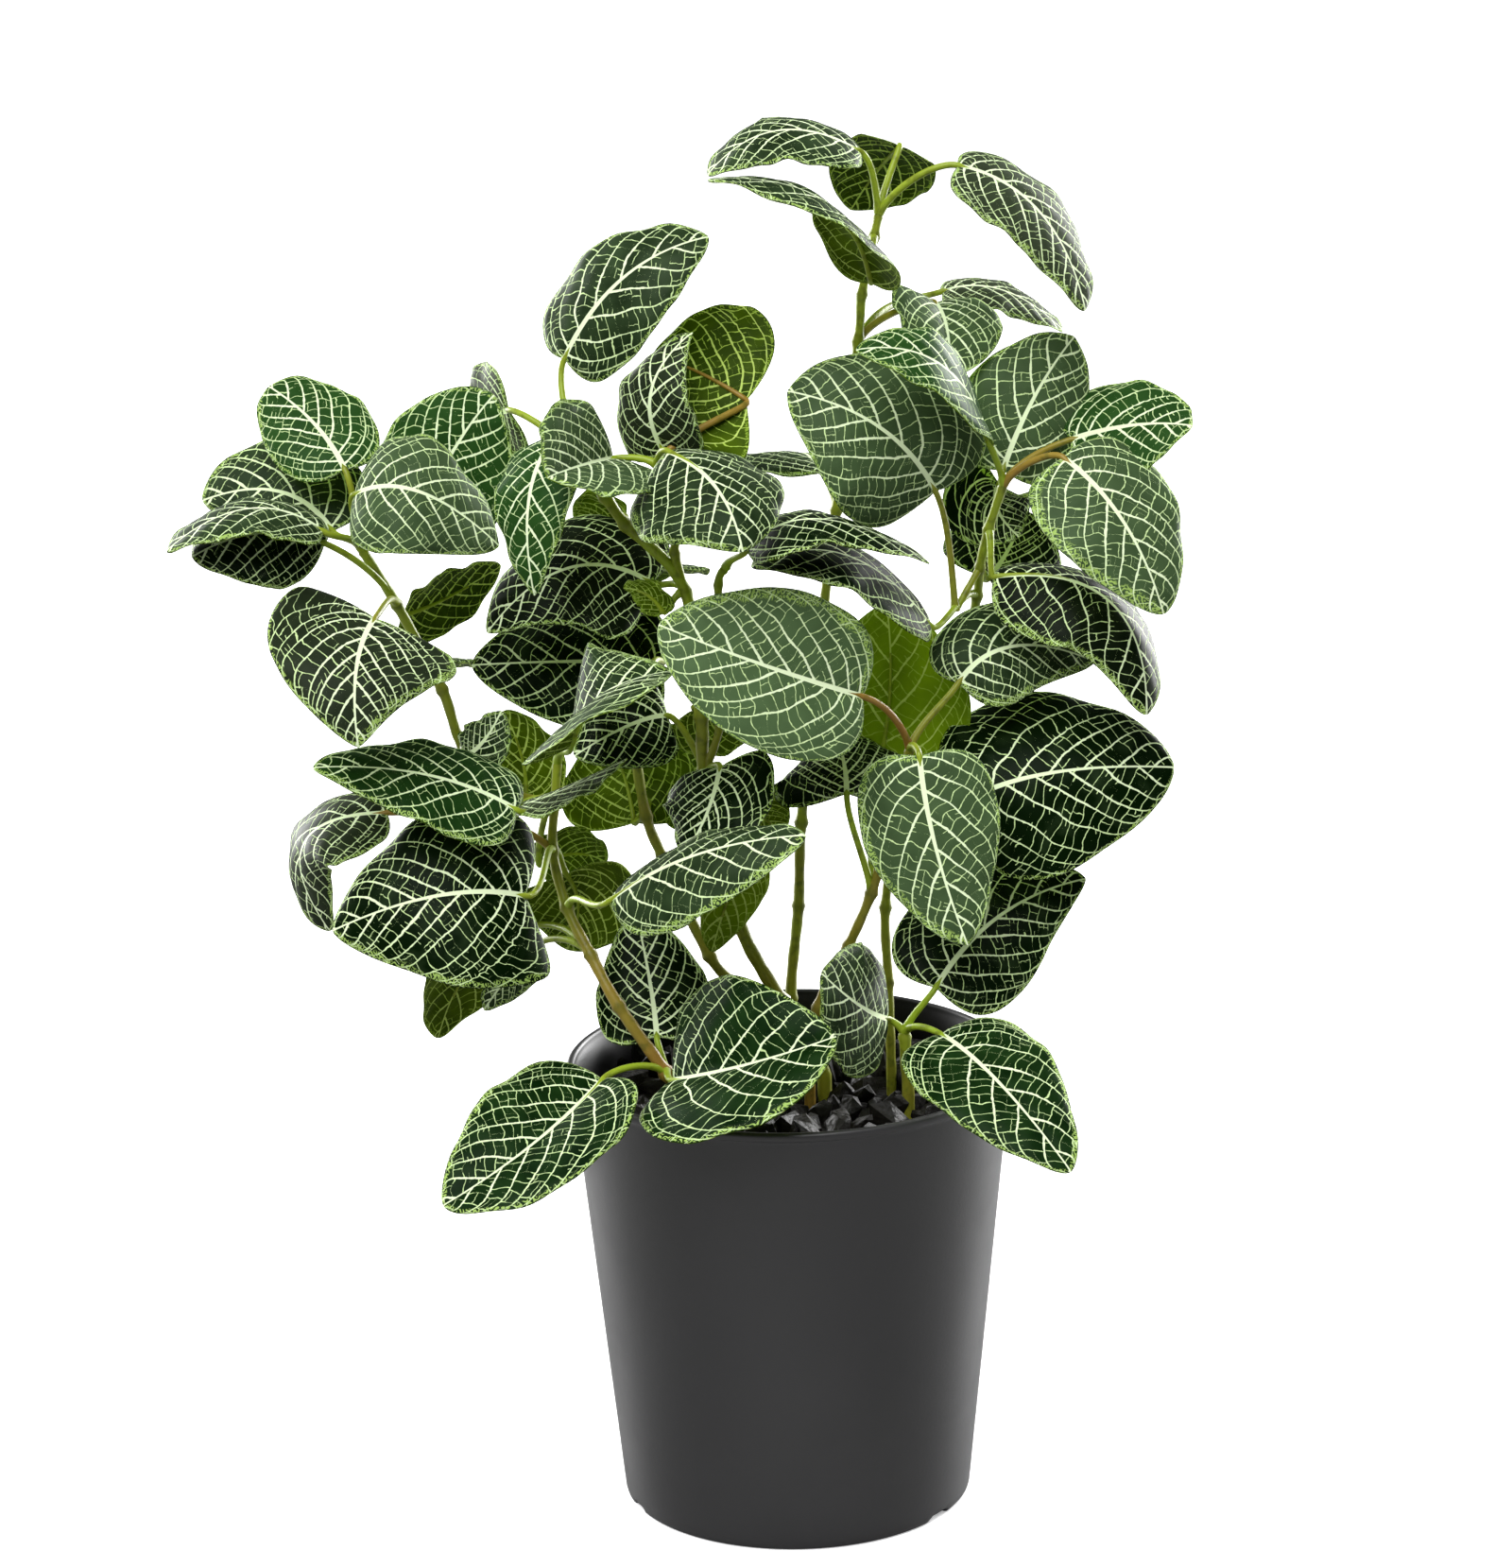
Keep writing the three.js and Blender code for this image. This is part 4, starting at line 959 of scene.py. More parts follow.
@dataclass(frozen=True)
class MixFinish:
    """Dark, crumbly potting mix."""

    dark: Colour = (0.012, 0.009, 0.006)
    light: Colour = (0.060, 0.042, 0.026)
    crumbs: Pattern = (260.0, 6.0, 0.35, 0.7)
    relief: tuple[float, float] = (0.0012, 0.8)
    roughness: float = 0.95
    specular: float = 0.2

    def material(self) -> bpy.types.Material:
        """Makes the material.

        Returns:
            The material of the mix.
        """
        sheet = Sheet("potting_mix", self.roughness, self.specular)
        crumb = sheet.spots(sheet.place(), self.crumbs)
        return sheet.paint(sheet.mixed(crumb, self.dark, self.light), crumb, *self.relief)


def mesh_object(name: str, places: Places, faces: list, edges: list | None = None) -> bpy.types.Object:
    """Makes an object at the origin from places in millimetres.

    Args:
        name: the object's name.
        places: its vertices.
        faces: its faces.
        edges: loose edges.

    Returns:
        The object.
    """
    mesh = bpy.data.meshes.new(name)
    mesh.from_pydata((np.asarray(places) * MM).tolist(), edges or [], faces)
    thing = bpy.data.objects.new(name, mesh)
    bpy.context.scene.collection.objects.link(thing)
    return thing


def add_attribute(thing: bpy.types.Object, name: str, values: Places) -> None:
    """Adds a vector attribute on the points.

    Args:
        thing: the object.
        name: the attribute's name.
        values: one row of three for each vertex.
    """
    made = thing.data.attributes.new(name, "FLOAT_VECTOR", "POINT")
    made.data.foreach_set("vector", np.asarray(values, np.float32).ravel())


def smoothed(start: Places, end: Places, value: Places) -> Places:
    """Rises smoothly from 0 at start to 1 at end."""
    share = np.clip((value - start) / (end - start), 0.0, 1.0)
    return share * share * (3.0 - 2.0 * share)


@dataclass
class BladeMaker:
    """Builds the blades of one shoot, each a closed thin shell with its own flat coordinates.

    The blades are held inside `box`, the lowest and highest corners of the whole plant in metres.
    """

    box: tuple
    rows: int = 44
    columns: int = 26
    spread: float = 0.92
    thickness: float = 0.6
    thin_edge: tuple[float, float] = (0.35, 1.2)
    outline: tuple[float, float] = (0.68, 0.6)
    heart_outline: tuple[float, float] = (-0.18, 0.2)
    cup: float = math.radians(-10)
    lift_loss: float = 0.3
    lobe_reach: float = 0.25
    quilt: float = 0.32
    quilt_start: tuple[float, float] = (2.5, 3.0)
    waves: tuple[float, float] = (5, 0.6)
    crimps: tuple[float, float] = (9, 0.35)
    wave_start: float = 0.12
    groove: tuple[float, float] = (-0.25, 1.1)
    band_blend: float = 0.4
    side_veins: tuple[float, float] = (4.8, 6.4)
    foot_veins: float = 1.5
    foot_reach: float = 0.12
    vein_lean: tuple[float, float] = (0.0, 1.0)
    lean_rise: tuple[float, float] = (-0.02, 0.3)
    tip_lean: float = 0.2
    vein_arch: float = 1.5
    rim_pull: float = 0.12
    rim_limit: float = 0.96
    fan_angle: float = math.radians(33)
    vein_slope: tuple[float, float] = (0.4, 1.4)
    fan_reach: tuple[float, float] = (0.3, 0.25)
    first_vein: tuple[float, float] = (0.3, 0.5)
    gap_limits: tuple[float, float] = (1.2, 9.0)
    search: tuple[float, int] = (1.5, 30)
    seed_turn: float = 7.0
    places: list = field(default_factory=list)
    faces: list = field(default_factory=list)
    kinds: list = field(default_factory=list)
    flats: list = field(default_factory=list)
    veins: list = field(default_factory=list)
    forms: list = field(default_factory=list)
    tones_and_shades: list = field(default_factory=list)
    count: int = 0

    def rib(self, eye: PhotoEye, leaf: Leaf, t: Places) -> tuple[Places, Places]:
        """Follows the midrib.

        Args:
            eye: the photograph's eye.
            leaf: the leaf.
            t: shares of the midrib's run.

        Returns:
            Its places and its directions.
        """
        foot, middle, tip = (eye.place(r) for r in (leaf.foot, leaf.middle, leaf.tip))
        pull = 2 * middle - (foot + tip) / 2
        t = np.asarray(t, float)[:, None]
        places = (1 - t) ** 2 * foot + 2 * t * (1 - t) * pull + t**2 * tip
        along = 2 * (1 - t) * (pull - foot) + 2 * t * (tip - pull)
        return places, along / np.linalg.norm(along, axis=1, keepdims=True)

    def half_width(self, leaf: Leaf, t: Places) -> Places:
        """Gives the blade's half width at t."""
        power, fullness = (a + b * leaf.heart for a, b in zip(self.outline, self.heart_outline))
        return leaf.width / 2 * np.sin(np.pi * np.clip(t, 0, 1) ** power) ** fullness

    def surface(self, eye: PhotoEye, leaf: Leaf, t: Places, u: Places) -> dict[str, Places]:
        """Shapes the blade's middle surface.

        Args:
            eye: the photograph's eye.
            leaf: the leaf.
            t: shares along the midrib.
            u: shares across the blade, from -1 to 1.

        Returns:
            Grids of `place`, `normal`, flat `x` and `y`, and the midrib's `length`.
        """
        ribs, along = self.rib(eye, leaf, t)
        look = np.array(leaf.face) - along * (along @ np.array(leaf.face))[:, None]
        look /= np.linalg.norm(look, axis=1, keepdims=True)
        across = np.cross(along, look)
        out = np.clip(self.half_width(leaf, t), 0, None)[:, None]
        right = (u > 0)[None, :]
        lift = np.radians(np.where(right, leaf.lift[1], leaf.lift[0]))
        lobe = np.where(right, leaf.lobes[1], leaf.lobes[0])
        size = np.abs(u)[None, :]
        raised = lift * (1 - self.lift_loss * t[:, None]) + self.cup * size
        back = 2 * out * lobe * np.exp(-((t[:, None] / self.lobe_reach) ** 2)) * size
        place = ribs[:, None] - along[:, None] * back[..., None]
        place = place + across[:, None] * (u[None, :] * out * np.cos(raised))[..., None]
        place = place + look[:, None] * (size * out * np.sin(raised))[..., None]
        side = np.sign(u)[None, :, None]
        normal = look[:, None] * np.cos(raised)[..., None]
        normal = normal - across[:, None] * side * np.sin(raised)[..., None]
        steps = np.linalg.norm(np.diff(ribs, axis=0), axis=1)
        reach = np.concatenate([[0.0], np.cumsum(steps)])
        return {
            "place": place,
            "normal": normal,
            "x": u[None, :] * out,
            "y": reach[:, None] - back,
            "length": reach[-1],
        }

    def lean(self, origin: Places) -> Places:
        """Gives how far a side vein climbs for each step outwards, by where it leaves the midrib."""
        low, high = self.vein_lean
        return low + (high - low) * smoothed(*self.lean_rise, origin) + self.tip_lean * np.clip(origin, 0, 1)

    def phase(
        self, grid: dict[str, Places], u: Places, veins: float, seed: float
    ) -> tuple[Places, Places, Places]:
        """Numbers the side veins: a vein runs wherever the phase is half way between whole numbers.

        Args:
            grid: the blade's surface.
            u: shares across the blade.
            veins: how many more veins than most blades this one has, as a factor.
            seed: the leaf's own number.

        Returns:
            The phase, the real distance that one whole number takes, and the run along a side vein.
        """
        length = grid["length"]
        y = grid["y"] / length
        x = np.abs(grid["x"]) / length
        near = self.rim_limit * np.abs(u)[None, :]
        climb = self.vein_arch * x**2 - self.rim_pull * (np.log(1 - near) + near + near**2 / 2)
        reach, rounds = self.search
        low, high = np.full(y.shape, -reach), np.full(y.shape, reach)
        for _ in range(rounds):
            origin = (low + high) / 2
            above = origin + x * self.lean(origin) + climb > y
            high = np.where(above, origin, high)
            low = np.where(above, low, origin)
        fewest, most = self.side_veins
        step = fewest + (most - fewest) * (self.seed_turn * seed % 1.0)
        ahead = np.clip(origin, 0, None)
        phase = veins * (step * ahead + self.foot_veins * (1 - np.exp(-ahead / self.foot_reach)))
        drop = np.arctan2(x * self.lean(np.zeros(1)) + climb - y, np.maximum(x, TINY))
        phase = np.where(origin < 0, -drop / self.fan_angle, phase)
        flatter, steeper = self.vein_slope
        slope = flatter + (steeper - flatter) * smoothed(0.0, self.fan_reach[0], origin)
        plane = (x + slope * y) / np.sqrt(1 + slope**2)
        run = np.hypot(x, y)
        run = run + (plane - run) * smoothed(0.0, self.fan_reach[1], origin)
        start = self.first_vein[0] + self.first_vein[1] * seed
        return phase + start, self.spacing(grid, phase), run * length

    def spacing(self, grid: dict[str, Places], phase: Places) -> Places:
        """Measures how far apart the side veins run at each point of the blade.

        Args:
            grid: the blade's surface.
            phase: the veins' numbers.

        Returns:
            The distance in millimetres.
        """
        middle = phase.shape[1] // 2
        found = np.empty_like(phase)
        for half in (slice(None, middle + 1), slice(middle, None)):
            parts = [np.gradient(values[:, half]) for values in (phase, grid["x"], grid["y"])]
            (p_row, p_col), (x_row, x_col), (y_row, y_col) = parts
            size = x_row * y_col - x_col * y_row
            size = np.where(np.abs(size) < TINY, TINY, size)
            steep = np.hypot(p_row * y_col - p_col * y_row, x_row * p_col - x_col * p_row) / np.abs(size)
            found[:, half] = np.clip(1 / np.maximum(steep, TINY), *self.gap_limits)
        return found

    def margin(self, grid: dict[str, Places]) -> Places:
        """Measures how far each point of the blade lies from its margin, in the flat.

        Args:
            grid: the blade's surface.

        Returns:
            The distance in millimetres.
        """
        x, y = grid["x"], grid["y"]
        rim = np.concatenate(
            [np.stack([x[:, 0], y[:, 0]], 1), np.stack([x[::-1, -1], y[::-1, -1]], 1)]
        )
        start, end = rim, np.roll(rim, -1, axis=0)
        run = end - start
        span = np.maximum((run**2).sum(1), TINY_SQUARE)
        point = np.stack([x, y], -1).reshape(-1, 1, 2)
        share = np.clip(((point - start) * run).sum(-1) / span, 0, 1)
        gap = np.linalg.norm(point - start - share[..., None] * run, axis=-1)
        return gap.min(1).reshape(x.shape)

    def add(self, eye: PhotoEye, leaf: Leaf, seed: float) -> None:
        """Adds one blade.

        Args:
            eye: the photograph's eye.
            leaf: the leaf.
            seed: the leaf's own number, which sets its pattern apart from the others'.
        """
        t = (1 - np.cos(np.pi * np.arange(self.rows + 1) / self.rows)) / 2
        turn = np.pi / 2 * self.spread
        u = np.sin(np.linspace(-1, 1, self.columns + 1) * turn) / math.sin(turn)
        grid = self.surface(eye, leaf, t, u)
        phase, spacing, run = self.phase(grid, u, leaf.veins, seed)
        margin = self.margin(grid)
        swell = np.abs(((phase + np.where(u > 0, HALF_SHIFT, 0.0)) % 1.0) - 0.5) * 2
        inner = smoothed(0.0, self.quilt_start[0], margin)
        inner = inner * smoothed(0.0, self.quilt_start[1], np.abs(grid["x"]))
        bulge = self.quilt * np.cos(np.pi * (1 - swell) / 2) * inner
        size = np.abs(u)[None, :]
        waves, height = self.waves
        crimps, rise = self.crimps
        ripple = height * size**4 * np.sin(waves * np.pi * t)[:, None]
        ripple = ripple + rise * size**4 * np.sin(crimps * np.pi * t + self.seed_turn * seed)[:, None]
        groove = self.groove[0] * np.exp(-((grid["x"] / self.groove[1]) ** 2)) * (1 - t[:, None])
        raised = bulge + ripple * smoothed(0.0, self.wave_start, t)[:, None] + groove
        thin, reach = self.thin_edge
        half = self.thickness / 2 * (thin + (1 - thin) * smoothed(0.0, reach, margin))
        upper = grid["place"] + grid["normal"] * (raised + half)[..., None]
        under = grid["place"] + grid["normal"] * (raised - half)[..., None]
        low, high = (np.array(corner) / MM for corner in self.box)
        for face in (upper, under):
            past = face - np.clip(face, low, high)
            upper, under = upper - past, under - past
        shares = np.broadcast_to(size, phase.shape)
        rows = np.broadcast_to(t[:, None], phase.shape)
        flat = np.stack([grid["x"], grid["y"], np.full_like(phase, SEED_STEP * seed)], -1)
        vein = np.stack([phase, margin, spacing], -1)
        form = np.stack([shares, rows, run], -1)
        band = leaf.band[0] + (leaf.band[1] - leaf.band[0]) * smoothed(-self.band_blend, self.band_blend, u)
        band = np.broadcast_to(band[None, :], phase.shape)
        # The leaf's tone carries painted light and shade along with its tint and its band.
        shade = np.full_like(phase, leaf.tone.value[0])
        tone = np.stack([shade, np.full_like(phase, leaf.tone.value[1]), band], -1)
        self.store(upper, under, (flat, vein, form, tone))

    def store(self, upper: Places, under: Places, given: tuple[Places, ...]) -> None:
        """Keeps a blade's two faces, its edge and its attributes.

        Args:
            upper: places of the upper face.
            under: places of the underside.
            given: the flat coordinates, the veins' phase, margin and spacing, the form, and the tone with its
                painted light and shade.
        """
        rows, columns = self.rows, self.columns
        keep = np.ones(upper.shape[:2], bool)
        keep[[0, -1], :] = False
        keep[[0, -1], columns // 2] = True
        number = np.full(keep.shape, -1)
        number[keep] = np.arange(keep.sum())
        number[0, :] = number[0, columns // 2]
        number[-1, :] = number[-1, columns // 2]
        total = int(keep.sum())
        for row in range(rows):
            for column in range(columns):
                corners = [number[row, column], number[row, column + 1]]
                corners += [number[row + 1, column + 1], number[row + 1, column]]
                ring = list(dict.fromkeys(int(c) for c in corners))
                self.faces.append([self.count + c for c in ring])
                self.faces.append([self.count + total + c for c in reversed(ring)])
                self.kinds += [0, 1]
            right = (number[row, columns], number[row + 1, columns])
            left = (number[row + 1, 0], number[row, 0])
            for a, b in (right, left):
                first, second = self.count + int(a), self.count + int(b)
                self.faces.append([first + total, second + total, second, first])
                self.kinds.append(1)
        self.places += [upper[keep], under[keep]]
        for kept, values in zip((self.flats, self.veins, self.forms, self.tones_and_shades), given):
            kept += [values[keep], values[keep]]
        self.count += 2 * total

    def piece(self, name: str, upper: bpy.types.Material, under: bpy.types.Material) -> bpy.types.Object:
        """Makes one object of the blades added so far.

        Args:
            name: the object's name.
            upper: the material of the upper faces.
            under: the material of the undersides and edges.

        Returns:
            The object.
        """
        thing = mesh_object(name, np.concatenate(self.places), self.faces)
        thing.data.materials.append(upper)
        thing.data.materials.append(under)
        thing.data.polygons.foreach_set("material_index", self.kinds)
        thing.data.polygons.foreach_set("use_smooth", [True] * len(self.kinds))
        kept = (self.flats, self.veins, self.forms, self.tones_and_shades)
        for attribute, values in zip(("flat", "vein", "form", "tone"), kept):
            add_attribute(thing, attribute, np.concatenate(values))
        return thing


@dataclass
class StemNet:
    """Collects the paths of one shoot's stems and stalks."""

    step: float = 1.3
    root_foot: float = 86.0
    root_top: float = 117.0
    lead_in: float = 12.0
    collar: tuple[float, float] = (0.4, 1.2)
    swell: tuple[float, float] = (0.05, 0.7)
    seed_turn: float = 9.0
    end: float = 0.6
    leave: tuple[float, float] = (0.6, 0.5)
    arrive: tuple[float, float] = (0.3, 0.6)
    stalk_radius: tuple[float, float] = (1.0, 0.82)
    stalk_foot: tuple[float, float] = (0.35, 1.8)
    rib_rows: int = 22
    rib_end: float = 0.72
    rib_radius: float = 0.3
    rib_taper: float = 0.6
    rib_sink: tuple[float, float] = (0.35, 0.06)
    places: list = field(default_factory=list)
    edges: list = field(default_factory=list)
    widths: list = field(default_factory=list)
    ages: list = field(default_factory=list)

    def add_path(self, path: Places, widths: Places, ages: Places) -> None:
        """Keeps one path.

        Args:
            path: its places.
            widths: the radius at each.
            ages: 0 for young to 1 for old and 2 for red, and the share of a node's ring, at each.
        """
        first = sum(len(p) for p in self.places)
        self.edges += [(first + k, first + k + 1) for k in range(len(path) - 1)]
        self.places.append(path)
        self.widths.append(widths)
        self.ages.append(ages)

    def stem_places(self, eye: PhotoEye, stem: Stem, earlier: list) -> list[Places]:
        """Gives the stem's listed places, its start first.

        Args:
            eye: the photograph's eye.
            stem: the stem.
            earlier: the listed places of the shoot's earlier stems.

        Returns:
            The places.
        """
        seen = [eye.place(p) for p in stem.points]
        if stem.root is not None:
            return [np.array([*stem.root, self.root_top])] + seen
        return [earlier[stem.start[0]][stem.start[1]]] + seen

    def curve(self, before: Places, listed: list[Places]) -> tuple[Places, Places]:
        """Runs a smooth path through listed places.

        Args:
            before: the place that leads in.
            listed: the places.

        Returns:
            The path, and the run along it at which each listed place comes.
        """
        ends = [before, *listed, 2 * listed[-1] - listed[-2]]
        path, marks, run = [], [0.0], 0.0
        for a, b, c, d in zip(ends, ends[1:], ends[2:], ends[3:]):
            count = max(3, math.ceil(np.linalg.norm(c - b) / self.step))
            t = (np.arange(count) / count)[:, None]
            part = 2 * b + (c - a) * t + (2 * a - 5 * b + 4 * c - d) * t**2 + (3 * b - a - 3 * c + d) * t**3
            path.append(part / 2)
            whole = np.concatenate([part / 2, c[None]])
            run += np.linalg.norm(np.diff(whole, axis=0), axis=1).sum()
            marks.append(run)
        path.append(listed[-1][None])
        return np.concatenate(path), np.array(marks)

    def add_stem(self, stem: Stem, listed: list[Places], seed: float) -> None:
        """Adds one stem with a collar at each of its nodes.

        Args:
            stem: the stem.
            listed: its listed places.
            seed: the stem's own number.
        """
        rooted = stem.root is not None
        before = 2 * listed[0] - listed[1]
        if rooted:
            before = np.array([*stem.root, self.root_top - self.lead_in])
        path, marks = self.curve(before, listed)
        run = np.concatenate([[0.0], np.cumsum(np.linalg.norm(np.diff(path, axis=0), axis=1))])
        share = run / run[-1]
        width = stem.radii[0] + (stem.radii[1] - stem.radii[0]) * share
        away = np.abs(run[:, None] - marks[None, 1:]).min(1)
        ring = np.exp(-((away / self.collar[1]) ** 2))
        width = width * (1 + self.collar[0] * ring)
        width = width * (1 + self.swell[0] * np.sin(run * self.swell[1] + self.seed_turn * seed))
        width[-1] *= self.end
        age = stem.age[0] + (stem.age[1] - stem.age[0]) * share
        if rooted:
            path = np.concatenate([[[*stem.root, self.root_foot]], path])
            width = np.concatenate([[stem.radii[0]], width])
            age = np.concatenate([[stem.age[0]], age])
            ring = np.concatenate([[0.0], ring])
        self.add_path(path, width, np.stack([age, ring], 1))

    def add_stalk(self, eye: PhotoEye, leaf: Leaf, node: Places, maker: BladeMaker) -> None:
        """Adds a leaf's stalk, which runs on as the rib under its blade.

        Args:
            eye: the photograph's eye.
            leaf: the leaf.
            node: where the stalk leaves its stem.
            maker: the blades' maker, for the midrib.
        """
        foot, along = (a[0] for a in maker.rib(eye, leaf, np.array([0.0])))
        span = np.linalg.norm(foot - node)
        leave = (foot - node) / span * self.leave[0] + np.array([0.0, 0.0, self.leave[1]])
        leave = leave / np.linalg.norm(leave) * span
        ahead = max(0.0, float(along @ (foot - node)) / span)
        arrive = along * span * (self.arrive[0] + self.arrive[1] * ahead)
        t = np.linspace(0, 1, max(6, math.ceil(span / self.step)))[:, None]
        path = (2 * t**3 - 3 * t**2 + 1) * node + (t**3 - 2 * t**2 + t) * leave
        path = path + (3 * t**2 - 2 * t**3) * foot + (t**3 - t**2) * arrive
        thick, thin = self.stalk_radius
        fuller, reach = self.stalk_foot
        width = thick + (thin - thick) * t[:, 0]
        width = width * (1 + fuller * np.exp(-((t[:, 0] * span / reach) ** 2)))
        rows = np.linspace(0.0, self.rib_end, self.rib_rows)[1:]
        grid = maker.surface(eye, leaf, rows, np.array([0.0]))
        sink = maker.thickness / 2 + self.rib_sink[0] * smoothed(0.0, self.rib_sink[1], rows)
        rib = grid["place"][:, 0] - grid["normal"][:, 0] * sink[:, None]
        ends = thin + (self.rib_radius - thin) * (rows / self.rib_end) ** self.rib_taper
        self.add_path(
            np.concatenate([path, rib]),
            np.concatenate([width, ends]),
            np.tile([leaf.age, 0.0], (len(path) + len(rib), 1)),
        )

    def paths(self, name: str) -> bpy.types.Object:
        """Makes the net of edges along the shoot's stems and stalks.

        Args:
            name: the object's name.

        Returns:
            The object.
        """
        thing = mesh_object(name, np.concatenate(self.places), [], self.edges)
        ages = np.concatenate(self.ages)
        add_attribute(thing, "age", np.column_stack([ages, np.zeros(len(ages))]))
        made = thing.data.attributes.new("thickness", "FLOAT", "POINT")
        made.data.foreach_set("value", (np.concatenate(self.widths) * MM).astype(np.float32))
        return thing


@dataclass
class Foliage:
    """The seven leafy stems, held inside `box`, the CAD's lowest and highest corners in metres."""

    eye: PhotoEye
    box: tuple
    tube_sides: int = 12
    fullness: float = 1.0
    seed: int = 7
    upper: BladeFinish = BladeFinish()
    under: UndersideFinish = UndersideFinish()
    stem: StemFinish = StemFinish()

    def tubes(self) -> Shaper:
        """Makes the tree that turns a net of edges into round stems of the points' own radius.

        Returns:
            The tree.
        """
        tree = Shaper("stems_along_paths", Sides="Int", Fullness="Float")
        lines = tree.node("GeometryNodeMeshToCurve", {"Mesh": tree.given["Geometry"]})
        circle = {"Resolution": tree.given["Sides"], "Radius": 1.0}
        ring = tree.node("GeometryNodeCurvePrimitiveCircle", circle)
        own = {"Name": "thickness"}
        radius = tree.node("GeometryNodeInputNamedAttribute", own, "Attribute", data_type="FLOAT")
        given = {"Curve": lines, "Profile Curve": ring, "Fill Caps": True}
        given["Scale"] = radius * tree.given["Fullness"]
        tube = tree.node("GeometryNodeCurveToMesh", given)
        smooth = tree.node("GeometryNodeSetShadeSmooth", {"Geometry": tube})
        tree.end(tree.node("GeometryNodeRealizeInstances", {"Geometry": smooth}), self.stem.material())
        return tree

    def build(self) -> None:
        """Builds every shoot."""
        upper, under, tubes = self.upper.material(), self.under.material(), self.tubes()
        random = np.random.default_rng(self.seed)
        for shoot in SHOOTS:
            maker, net = BladeMaker(self.box), StemNet()
            listed: list = []
            for stem in shoot.stems:
                listed.append(net.stem_places(self.eye, stem, listed))
                net.add_stem(stem, listed[-1], random.random())
            for leaf in shoot.leaves:
                maker.add(self.eye, leaf, random.random())
                net.add_stalk(self.eye, leaf, listed[leaf.on][leaf.at], maker)
            blades = maker.piece(f"{shoot.node}_blades", upper, under)
            stems = tubes.run(net.paths(f"{shoot.node}_stems"), Sides=self.tube_sides, Fullness=self.fullness)
            slot = "shoot" if shoot.node == "low_shoot" else "foliage"
            for piece in (blades, stems):
                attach(piece, "root")
                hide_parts(shoot.node)
            LOG.info("%s: %d leaves, %d faces", shoot.node, len(shoot.leaves), len(blades.data.polygons))


